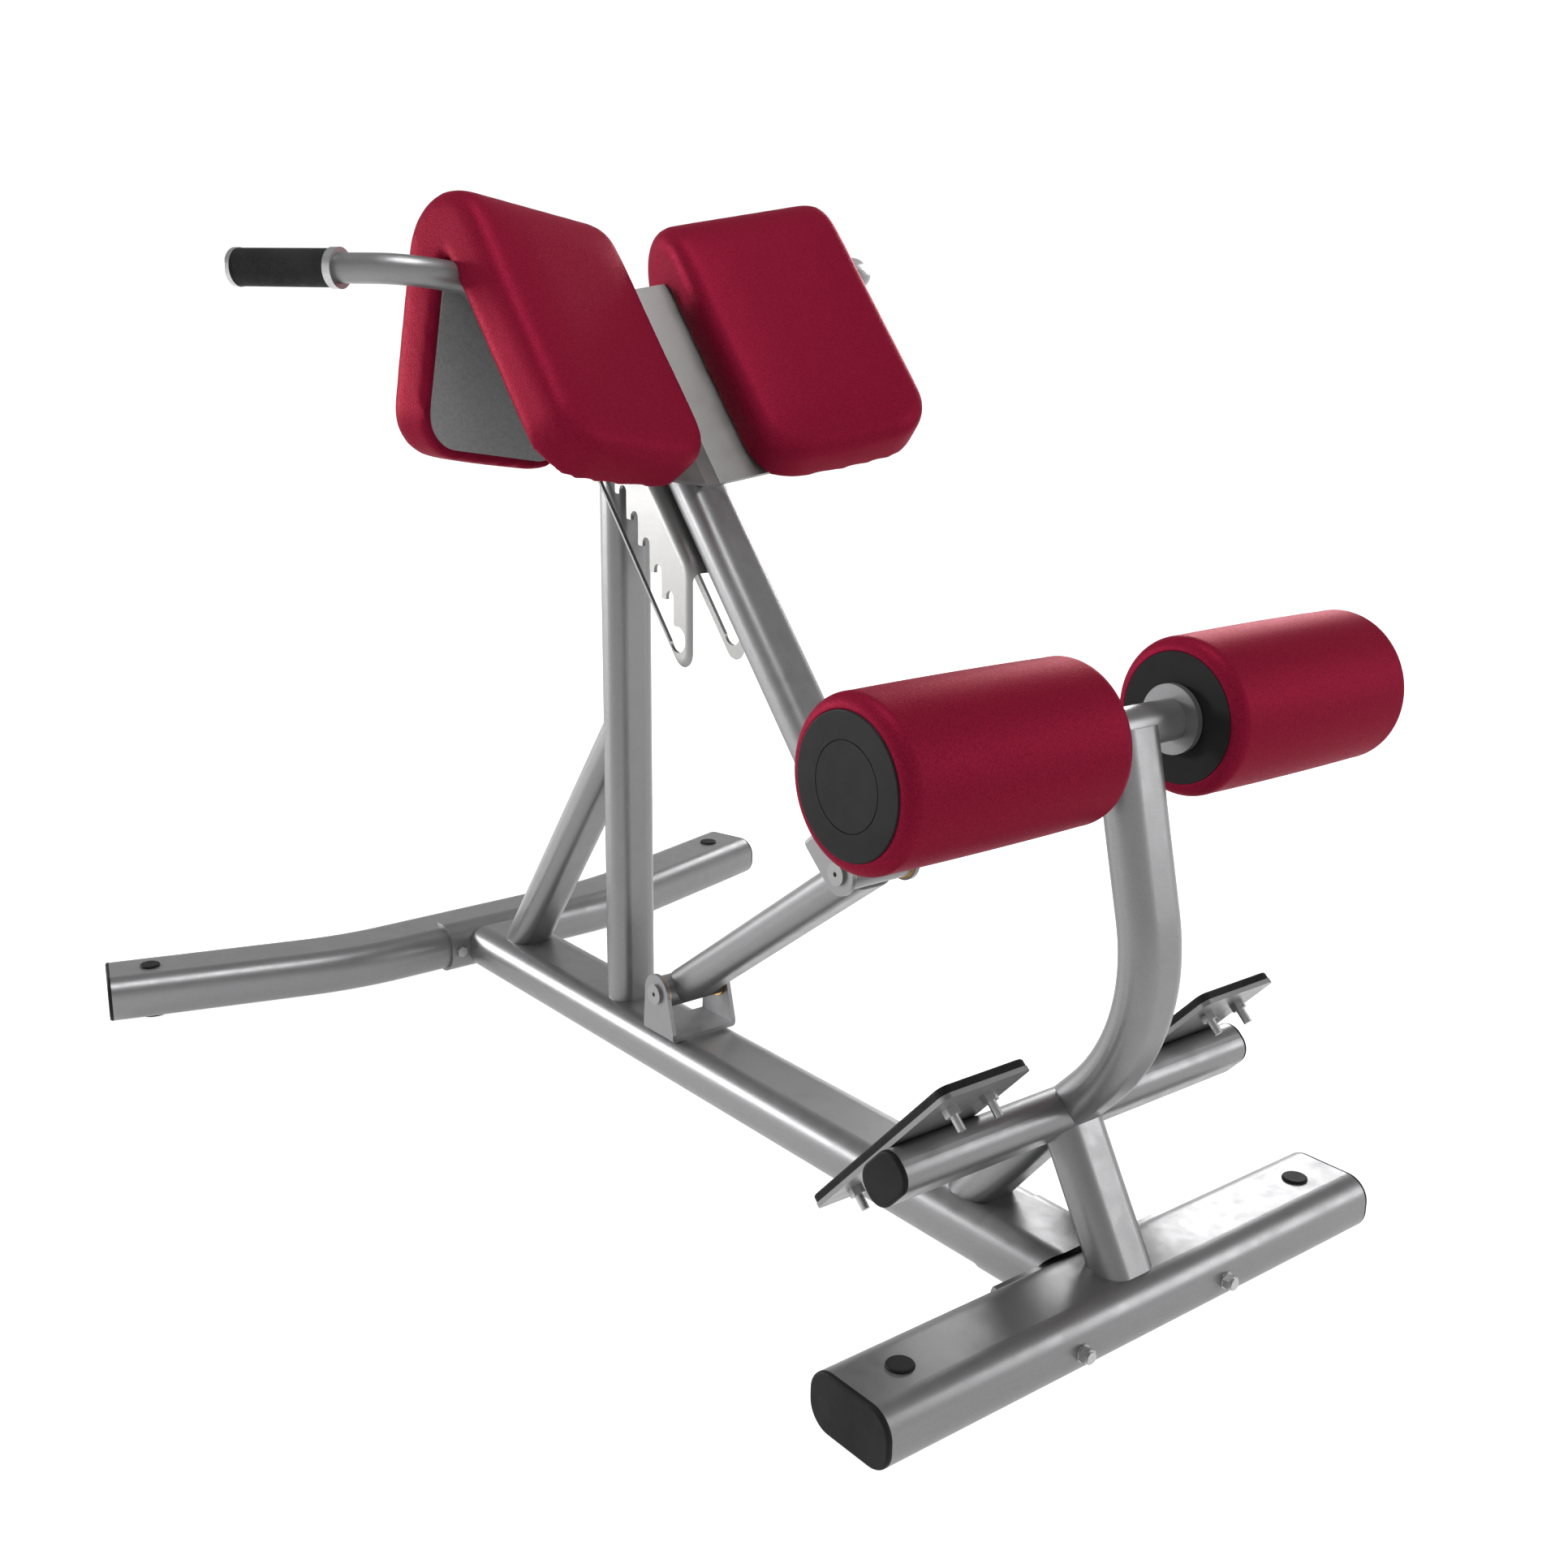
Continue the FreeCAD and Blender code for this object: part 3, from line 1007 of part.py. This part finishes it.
# ---------------------------------------------------------------- foot plates, mats and their studs
plate_under = dim["strut_t"] / 2
length = "foot_plate_up + foot_plate_down"
plate = box("foot_plate_blank", "foot_plate_t", length, "foot_plate_w",
            on_foot_plate(-dim["foot_plate_down"], plate_under, dim["foot_plate_in"]), FOOT_ROT)
plate = round_edges("foot_plate_soft", plate, 8, lambda edge: straight(edge, FOOT_OUT))
mat_under = plate_under + dim["foot_plate_t"]
mat = box("mat_blank", "mat_t", length, "foot_plate_w",
          on_foot_plate(-dim["foot_plate_down"], mat_under, dim["foot_plate_in"]), FOOT_ROT)
mat = round_edges("mat_corners", mat, dim["mat_r"], lambda edge: straight(edge, FOOT_OUT))
mat_top = mat_under + dim["mat_t"]
mat = round_edges("mat_soft", mat, 2.5,
                  lambda edge: abs((edge.CenterOfMass - FOOT_BAR).dot(FOOT_OUT) - mat_top) < 0.01)
stud_turn = Rot(Z, FOOT_OUT)
stud_points = [(up, side) for up in (dim["stud_up"], -dim["stud_down"]) for side in (dim["stud_in"], dim["stud_out"])]
studs = []
nuts = []
for index, (up, side) in enumerate(stud_points):
    foot_of_stud = on_foot_plate(up, mat_under - dim["stud_length"], side)
    studs.append(cylinder("stud_%d" % index, "bolt_r", "stud_length", foot_of_stud, stud_turn))
    nut = hexagon("stud_nut_%d" % index, "nut_across", "nut_t",
                  on_foot_plate(up, plate_under - dim["nut_t"], side), stud_turn)
    nuts.append(cut("stud_nut_cut_%d" % index, nut, studs[-1]))
plate = keep(cut("foot_plate_r", plate, *studs), "foot_plate_right")
mat = keep(mat, "foot_mat_right")
keep(mirror("foot_plate_l", plate), "foot_plate_left")
keep(mirror("foot_mat_l", mat), "foot_mat_left")
right_studs = group("studs_right", *studs)
right_nuts = group("stud_nuts_right", *nuts)
keep(group("studs_all", right_studs, mirror("studs_left", right_studs)), "plate_studs")
keep(group("stud_nuts_all", right_nuts, mirror("stud_nuts_left", right_nuts)), "plate_nuts")

# ---------------------------------------------------------------- check and write
doc.recompute()
faults = []
for obj in doc.Objects:
    if "Invalid" in obj.State or "Error" in obj.State:
        faults.append("%s: %s" % (obj.Name, obj.State))
total = FreeCAD.BoundBox()
for obj in sub_parts:
    if obj.Shape.isNull() or not obj.Shape.isValid():
        faults.append("%s: bad shape" % obj.Label)
    else:
        total.add(obj.Shape.BoundBox)
if faults:
    raise RuntimeError("; ".join(faults))
os.makedirs("parts", exist_ok=True)
for obj in sub_parts:
    obj.Shape.exportStep("parts/%s.step" % obj.Label)
print("%d sub-parts, x %.2f to %.2f, y %.2f to %.2f, z %.2f to %.2f" % (
    len(sub_parts), total.XMin, total.XMax, total.YMin, total.YMax, total.ZMin, total.ZMax))
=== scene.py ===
"""Roman chair: materials, upholstery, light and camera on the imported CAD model."""

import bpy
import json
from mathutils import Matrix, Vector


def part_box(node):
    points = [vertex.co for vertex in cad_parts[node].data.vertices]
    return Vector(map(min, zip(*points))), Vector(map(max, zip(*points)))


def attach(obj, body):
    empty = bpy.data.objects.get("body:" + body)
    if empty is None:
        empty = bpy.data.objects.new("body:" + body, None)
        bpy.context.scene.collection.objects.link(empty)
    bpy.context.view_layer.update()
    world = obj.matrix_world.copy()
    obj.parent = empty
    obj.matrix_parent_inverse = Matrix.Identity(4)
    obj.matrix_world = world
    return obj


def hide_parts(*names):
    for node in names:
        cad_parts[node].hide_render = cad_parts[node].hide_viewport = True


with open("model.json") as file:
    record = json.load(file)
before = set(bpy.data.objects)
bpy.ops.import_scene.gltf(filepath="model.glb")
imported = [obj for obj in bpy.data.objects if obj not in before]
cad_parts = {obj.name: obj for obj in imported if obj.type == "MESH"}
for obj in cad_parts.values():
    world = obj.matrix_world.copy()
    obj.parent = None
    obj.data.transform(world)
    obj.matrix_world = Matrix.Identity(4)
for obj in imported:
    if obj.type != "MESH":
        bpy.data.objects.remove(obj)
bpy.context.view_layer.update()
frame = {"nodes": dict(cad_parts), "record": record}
import json
import math

import bmesh
import bpy
import numpy as np
from mathutils import Matrix, Vector
from mathutils.bvhtree import BVHTree

# noise textures seldom leave this band, so it is what gets spread over a range of numbers
NOISE_LOW = 0.3
NOISE_HIGH = 0.7

# upholstery, in metres
VOXEL = 0.005
SWELL_LIMIT = 0.006
HELD_REACH = 0.011
LIP_REACH = 0.0075
LIP_RAMP = 0.004
SKIN_SINK = 0.0003
LIP_SINK = 0.0025
SIM_FRAMES = 20

FLOOR_HALF_SIZE = 14

scene = bpy.context.scene
nodes = frame["nodes"]


# ---------------------------------------------------------------- camera
def place_camera():
    """Three-quarter view from the crossbar end and the left, slightly above, as in the photograph."""
    turn = math.radians(51.67)
    rise = math.radians(15.72)
    roll = math.radians(0.65)
    place = (1.5524, -1.1340, 0.9129)
    back = Vector((math.sin(turn) * math.cos(rise), -math.cos(turn) * math.cos(rise), math.sin(rise)))
    right = (-back).cross(Vector((0, 0, 1))).normalized()
    up = right.cross(-back)
    side = right * math.cos(roll) + up * math.sin(roll)
    head = up * math.cos(roll) - right * math.sin(roll)
    camera = bpy.data.objects.new("camera", bpy.data.cameras.new("camera"))
    scene.collection.objects.link(camera)
    axes = Matrix((side, head, back)).transposed().to_4x4()
    camera.matrix_world = Matrix.Translation(place) @ axes
    camera.data.sensor_width = 36
    camera.data.lens = 41.0
    camera.data.shift_x = 0.0036
    camera.data.clip_start = 0.01
    scene.camera = camera


# ---------------------------------------------------------------- shader building
class Shader:
    """A material with a Principled shader and short helpers for the nodes round it."""

    def __init__(self, name, color, roughness, metallic=0.0, **constants):
        self.material = bpy.data.materials.new(name)
        self.material.use_nodes = True
        self.tree = self.material.node_tree
        self.shader = self.tree.nodes["Principled BSDF"]
        self.set("Base Color", (*color, 1))
        self.set("Roughness", roughness)
        self.set("Metallic", metallic)
        for socket, value in constants.items():
            self.set(socket.replace("_", " "), value)
        self.place = self.node("ShaderNodeTexCoord").outputs["Object"]
        self.height = None

    def set(self, socket, value):
        self.shader.inputs[socket].default_value = value

    def node(self, kind, **settings):
        made = self.tree.nodes.new(kind)
        for key, value in settings.items():
            setattr(made, key, value)
        return made

    def link(self, source, target):
        self.tree.links.new(source, target)

    def noise(self, scale, detail=4.0, roughness=0.5):
        texture = self.node("ShaderNodeTexNoise")
        texture.inputs["Scale"].default_value = scale
        texture.inputs["Detail"].default_value = detail
        texture.inputs["Roughness"].default_value = roughness
        self.link(self.place, texture.inputs["Vector"])
        return texture.outputs["Fac"]

    def cells(self, scale):
        texture = self.node("ShaderNodeTexVoronoi")
        texture.inputs["Scale"].default_value = scale
        self.link(self.place, texture.inputs["Vector"])
        return texture.outputs["Distance"]

    def spread(self, value, low, high):
        """Map a noise value to a range of numbers."""
        ranges = self.node("ShaderNodeMapRange")
        numbers = (NOISE_LOW, NOISE_HIGH, low, high)
        for socket, number in zip(("From Min", "From Max", "To Min", "To Max"), numbers):
            ranges.inputs[socket].default_value = number
        self.link(value, ranges.inputs["Value"])
        return ranges.outputs["Result"]

    def blend(self, amount, first, second):
        mix = self.node("ShaderNodeMix", data_type="RGBA")
        colors = [socket for socket in mix.inputs if socket.type == "RGBA"]
        colors[0].default_value = (*first, 1)
        colors[1].default_value = (*second, 1)
        self.link(amount, mix.inputs["Factor"])
        return [socket for socket in mix.outputs if socket.type == "RGBA"][0]

    def color(self, amount, first, second):
        self.link(self.blend(amount, first, second), self.shader.inputs["Base Color"])

    def rough(self, value, low, high):
        self.link(self.spread(value, low, high), self.shader.inputs["Roughness"])

    def bump(self, value, strength, depth):
        made = self.node("ShaderNodeBump")
        made.inputs["Strength"].default_value = strength
        made.inputs["Distance"].default_value = depth
        self.link(value, made.inputs["Height"])
        if self.height:
            self.link(self.height, made.inputs["Normal"])
        self.height = made.outputs["Normal"]
        self.link(self.height, self.shader.inputs["Normal"])


def powder_coat():
    made = Shader("powder_coat_silver", (0.19, 0.19, 0.194), 0.38, 0.72, Coat_Weight=0.04, Coat_Roughness=0.25)
    flake = made.noise(2600, 2, 0.6)
    made.color(made.spread(flake, 0, 1), (0.13, 0.13, 0.132), (0.215, 0.215, 0.219))
    made.rough(made.noise(55, 5, 0.6), 0.33, 0.43)
    made.bump(made.noise(900, 3, 0.6), 0.16, 0.00025)
    made.bump(made.noise(16, 2, 0.5), 0.04, 0.001)
    return made.material


def plate_coat():
    made = Shader("powder_coat_plate", (0.2, 0.2, 0.2), 0.42, 0.75, Coat_Weight=0.05, Coat_Roughness=0.3)
    made.color(made.spread(made.noise(2400, 2, 0.6), 0, 1), (0.17, 0.169, 0.167), (0.24, 0.238, 0.235))
    made.rough(made.noise(40, 5, 0.6), 0.36, 0.48)
    made.bump(made.noise(1100, 3, 0.6), 0.12, 0.0002)
    return made.material


def vinyl(name):
    made = Shader(name, (0.13, 0.005, 0.018), 0.48, 0.24, Specular_Tint=(1.0, 0.14, 0.34, 1),
                  Specular_IOR_Level=0.02)
    grain = made.noise(650, 3, 0.7)
    made.color(made.spread(grain, 0, 1), (0.100, 0.0038, 0.0138), (0.172, 0.0074, 0.0246))
    made.rough(made.noise(420, 4, 0.6), 0.43, 0.54)
    made.bump(made.noise(14, 3, 0.5), 0.10, 0.0016)
    made.bump(made.cells(700), 0.35, 0.0004)
    made.bump(made.noise(1500, 3, 0.7), 0.18, 0.0002)
    return made.material


def plastic():
    made = Shader("black_plastic", (0.009, 0.009, 0.0095), 0.5, 0.0, Specular_IOR_Level=0.06)
    made.color(made.spread(made.noise(12, 3), 0, 1), (0.007, 0.007, 0.0074), (0.013, 0.013, 0.0136))
    made.rough(made.noise(70, 4), 0.44, 0.56)
    made.bump(made.noise(1300, 3, 0.7), 0.35, 0.00025)
    return made.material


def rubber(name, tone, grain):
    made = Shader(name, (tone, tone, tone * 1.04), 0.62, 0.0, Specular_IOR_Level=0.08)
    made.color(made.spread(made.noise(18, 4), 0, 1), (tone * 0.7,) * 3, (tone * 1.4,) * 3)
    made.rough(made.noise(90, 4), 0.54, 0.74)
    made.bump(made.cells(grain), 0.45, 0.0006)
    made.bump(made.noise(1400, 3, 0.7), 0.25, 0.0002)
    return made.material


def board_paint():
    made = Shader("board_grey", (0.13, 0.13, 0.135), 0.5, 0.0, Coat_Weight=0.05)
    made.color(made.spread(made.noise(260, 4, 0.7), 0, 1), (0.15, 0.15, 0.153), (0.205, 0.205, 0.208))
    made.rough(made.noise(60, 4), 0.46, 0.60)
    made.bump(made.noise(700, 4, 0.7), 0.22, 0.0003)
    return made.material


def bright_steel():
    made = Shader("zinc_steel", (0.62, 0.62, 0.63), 0.26, 1.0)
    made.color(made.spread(made.noise(600, 4), 0, 1), (0.34, 0.34, 0.345), (0.44, 0.44, 0.44))
    made.rough(made.noise(900, 4, 0.6), 0.30, 0.42)
    made.bump(made.noise(2500, 3, 0.6), 0.06, 0.0001)
    return made.material


def bronze():
    made = Shader("bearing_bronze", (0.62, 0.36, 0.10), 0.30, 1.0)
    made.color(made.spread(made.noise(160, 4), 0, 1), (0.52, 0.29, 0.08), (0.72, 0.45, 0.14))
    made.rough(made.noise(260, 4), 0.24, 0.40)
    made.bump(made.noise(900, 3), 0.12, 0.0002)
    return made.material


def dress(names, material):
    """Give CAD nodes a material."""
    for name in names:
        obj = nodes[name]
        for index in range(len(obj.material_slots)):
            obj.material_slots[index].material = material
        if not obj.material_slots:
            obj.data.materials.append(material)


# ---------------------------------------------------------------- upholstery
def new_piece(name, mesh, material, body):
    piece = bpy.data.objects.new(name, mesh)
    scene.collection.objects.link(piece)
    mesh.materials.clear()
    mesh.materials.append(material)
    for face in mesh.polygons:
        face.use_smooth = True
    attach(piece, body)
    return piece


def applied(obj):
    """Mesh of an object with its modifiers applied."""
    graph = bpy.context.evaluated_depsgraph_get()
    return bpy.data.meshes.new_from_object(obj.evaluated_get(graph))


def evened(values, mesh, rounds):
    """Values on a mesh's vertices, averaged with their neighbours so that a tight cover shows no wrinkles."""
    ends = np.array([edge.vertices[:] for edge in mesh.edges])
    count = np.bincount(ends.ravel(), minlength=len(values))
    values = np.array(values)
    for _ in range(rounds):
        total = np.bincount(ends[:, 0], values[ends[:, 1]], len(values))
        total += np.bincount(ends[:, 1], values[ends[:, 0]], len(values))
        values = 0.5 * values + 0.5 * total / count
    return values.tolist()


def simulated_pad(node, held_by):
    """Foam pad under a tight cover: the CAD pad remeshed, then blown up a little by cloth pressure."""
    # the board's pocket is filled first, so that the cover's lip round the board comes out even
    work = bmesh.new()
    work.from_mesh(nodes[node].data)
    work.from_mesh(nodes[held_by].data)
    mesh = bpy.data.meshes.new(node + "_sim")
    work.to_mesh(mesh)
    work.free()
    obj = bpy.data.objects.new(node + "_sim", mesh)
    scene.collection.objects.link(obj)
    remesh = obj.modifiers.new("remesh", "REMESH")
    remesh.mode = "VOXEL"
    remesh.voxel_size = VOXEL
    smooth = obj.modifiers.new("smooth", "SMOOTH")
    smooth.iterations = 10
    smooth.factor = 0.5
    start = applied(obj)
    obj.modifiers.clear()
    obj.data = start
    board = BVHTree.FromObject(nodes[held_by], bpy.context.evaluated_depsgraph_get())
    held = obj.vertex_groups.new(name="held")
    normals = [vertex.normal.copy() for vertex in start.vertices]
    # the cover is cut back near the board, so that the board stands a little proud
    sunk = []
    for vertex in start.vertices:
        reach = board.find_nearest(vertex.co)[3]
        if reach < HELD_REACH:
            held.add([vertex.index], 1.0, "REPLACE")
        near = min(max((LIP_REACH - reach) / LIP_RAMP, 0.0), 1.0)
        sunk.append(SKIN_SINK + LIP_SINK * near)
    sunk = evened(sunk, start, rounds=5)
    for vertex, normal in zip(start.vertices, normals):
        vertex.co -= normal * sunk[vertex.index]
    rest = [vertex.co.copy() for vertex in start.vertices]
    cloth = obj.modifiers.new("cloth", "CLOTH")
    settings = cloth.settings
    settings.quality = 6
    settings.mass = 0.3
    settings.tension_stiffness = 18
    settings.compression_stiffness = 18
    settings.shear_stiffness = 8
    settings.bending_stiffness = 6
    settings.use_pressure = True
    settings.uniform_pressure_force = 6
    settings.vertex_group_mass = "held"
    settings.effector_weights.gravity = 0
    scene.frame_start = 1
    scene.frame_end = SIM_FRAMES
    for number in range(1, SIM_FRAMES + 1):
        scene.frame_set(number)
    blown = applied(obj)
    obj.modifiers.clear()
    swell = [min(max((vertex.co - rest[index]).dot(normals[index]), 0.0), SWELL_LIMIT)
             for index, vertex in enumerate(blown.vertices)]
    swell = evened(swell, start, rounds=60)
    for index, vertex in enumerate(start.vertices):
        vertex.co = rest[index] + normals[index] * swell[index]
    divide = obj.modifiers.new("divide", "SUBSURF")
    divide.levels = 1
    divide.render_levels = 1
    result = applied(obj)
    bpy.data.objects.remove(obj)
    return result


def mirrored(mesh):
    """Copy of a mesh on the other side of the XZ plane."""
    other = mesh.copy()
    other.transform(Matrix.Scale(-1, 4, (0, 1, 0)))
    other.flip_normals()
    return other


def lathe(name, profile, axis_point, segments=160):
    """Surface of revolution about an axis parallel to Y; the profile is a list of (y, radius)."""
    work = bmesh.new()
    rings = []
    for y, radius in profile:
        ring = []
        for index in range(segments):
            turn = 2 * math.pi * index / segments
            ring.append(work.verts.new((axis_point.x + radius * math.cos(turn), y,
                                        axis_point.z + radius * math.sin(turn))))
        rings.append(ring)
    for first, second in zip(rings, rings[1:]):
        for index in range(segments):
            after = (index + 1) % segments
            work.faces.new((first[index], first[after], second[after], second[index]))
    bmesh.ops.recalc_face_normals(work, faces=work.faces)
    mesh = bpy.data.meshes.new(name)
    work.to_mesh(mesh)
    work.free()
    return mesh


def middle(node):
    low, high = (Vector(corner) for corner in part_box(node))
    return (low + high) / 2


def roller_cover(side, material):
    """Foam roller under a tight cover, which turns in to the disc at each end."""
    node = "roller_pad_" + side
    low, high = (Vector(corner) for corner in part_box(node))
    core = middle(node)
    disc_low, disc_high = (Vector(corner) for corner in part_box("roller_discs_" + side))
    radius = (high.x - low.x) / 2
    disc = (disc_high.x - disc_low.x) / 2
    half = (high.y - low.y) / 2
    bend = 0.0125
    bulge = 0.0011
    inset = 0.0004
    steps = 14
    runs = 24
    end = [(-half + 0.0045, disc + 0.0002), (-half + 0.0012, disc + 0.0004)]
    for index in reversed(range(steps + 1)):
        turn = math.pi / 2 * index / steps
        end.append((-half + bend * (1 - math.sin(turn)), radius - bend + bend * math.cos(turn)))
    profile = list(end)
    for index in range(1, runs):
        part = index / runs
        y = -half + bend + (2 * half - 2 * bend) * part
        crown = bulge * math.sin(math.pi * part) ** 0.6
        profile.append((y, radius - inset + crown))
    profile += [(-y, r) for y, r in reversed(end)]
    mesh = lathe("roller_cover_" + side, [(core.y + y, r) for y, r in profile], core)
    piece = new_piece("roller_cover_" + side, mesh, material, "roller_" + side)
    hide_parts(node)


# ---------------------------------------------------------------- floor and light
def area_light(name, place, aim, size, power, height=None):
    data = bpy.data.lights.new(name, "AREA")
    data.shape = "RECTANGLE"
    data.size = size
    data.size_y = height or size
    data.energy = power
    lamp = bpy.data.objects.new(name, data)
    scene.collection.objects.link(lamp)
    lamp.location = place
    lamp.rotation_euler = (Vector(aim) - Vector(place)).to_track_quat("-Z", "Y").to_euler()


def studio():
    """White floor, which glows enough to hide its shadows, a sky that dims upwards, and four soft lights."""
    mesh = bpy.data.meshes.new("floor")
    work = bmesh.new()
    bmesh.ops.create_grid(work, x_segments=1, y_segments=1, size=FLOOR_HALF_SIZE)
    work.to_mesh(mesh)
    work.free()
    floor = bpy.data.objects.new("floor", mesh)
    scene.collection.objects.link(floor)
    paint = Shader("floor_white", (0.41, 0.41, 0.41), 0.7)
    paint.color(paint.spread(paint.noise(3, 3), 0, 1), (0.40, 0.40, 0.40), (0.42, 0.42, 0.42))
    paint.set("Emission Color", (1, 1, 1, 1))
    paint.set("Emission Strength", 0.92)
    mesh.materials.append(paint.material)
    world = bpy.data.worlds.new("studio")
    world.use_nodes = True
    tree = world.node_tree
    sky = tree.nodes["Background"]
    sky.inputs["Color"].default_value = (1, 1, 1, 1)
    direction = tree.nodes.new("ShaderNodeTexCoord")
    parts = tree.nodes.new("ShaderNodeSeparateXYZ")
    fade = tree.nodes.new("ShaderNodeMapRange")
    horizon, high, bright, dim = 0.2, 0.5, 1.05, 0.42
    for socket, number in zip(("From Min", "From Max", "To Min", "To Max"), (horizon, high, bright, dim)):
        fade.inputs[socket].default_value = number
    tree.links.new(direction.outputs["Generated"], parts.inputs["Vector"])
    tree.links.new(parts.outputs["Z"], fade.inputs["Value"])
    tree.links.new(fade.outputs["Result"], sky.inputs["Strength"])
    scene.world = world
    area_light("key", (0.4, -0.6, 3.2), (0, 0, 0.4), 1.2, 60)
    area_light("left", (-3.0, -2.2, 1.05), (0, 0, 0.5), 0.9, 130)
    area_light("right", (2.6, 2.4, 1.5), (0, 0, 0.5), 0.8, 45, height=1.8)
    area_light("back", (-1.5, 2.9, 1.7), (0.5, 0.2, 0.1), 1.1, 52)
    scene.view_settings.view_transform = "Standard"


# ---------------------------------------------------------------- the scene
place_camera()
frame_paint = powder_coat()
plates = plate_coat()
black = plastic()
crimson = vinyl("crimson_vinyl")
steel = bright_steel()
slots = {}
for entry in frame["record"]["subparts"]:
    slots.setdefault(entry["material_slot"], []).append(entry["node"])
dress(slots["frame_paint"], frame_paint)
dress(slots["black_plastic"], black)
dress(slots["steel_hardware"], steel)
dress(["pad_bracket", "notch_plates", "lower_pivot_bolt", "upper_pivot_bolt"], plates)
dress(slots["floor_rubber"], rubber("floor_rubber", 0.02, 500))
dress(slots["foot_rubber"], rubber("mat_rubber", 0.011, 420))
dress(slots["bronze"], bronze())
dress(slots["pad_board"], board_paint())
dress(slots["pad_vinyl"], crimson)
dress(slots["roller_vinyl"], crimson)
dress(slots["grip_rubber"], rubber("grip_rubber", 0.010, 700))

left_mesh = simulated_pad("hip_pad_left", "pad_board_left")
for side, mesh in (("left", left_mesh), ("right", mirrored(left_mesh))):
    cushion = new_piece("hip_cushion_" + side, mesh, crimson, "pad_carriage")
    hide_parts("hip_pad_" + side)
    roller_cover(side, crimson)
studio()
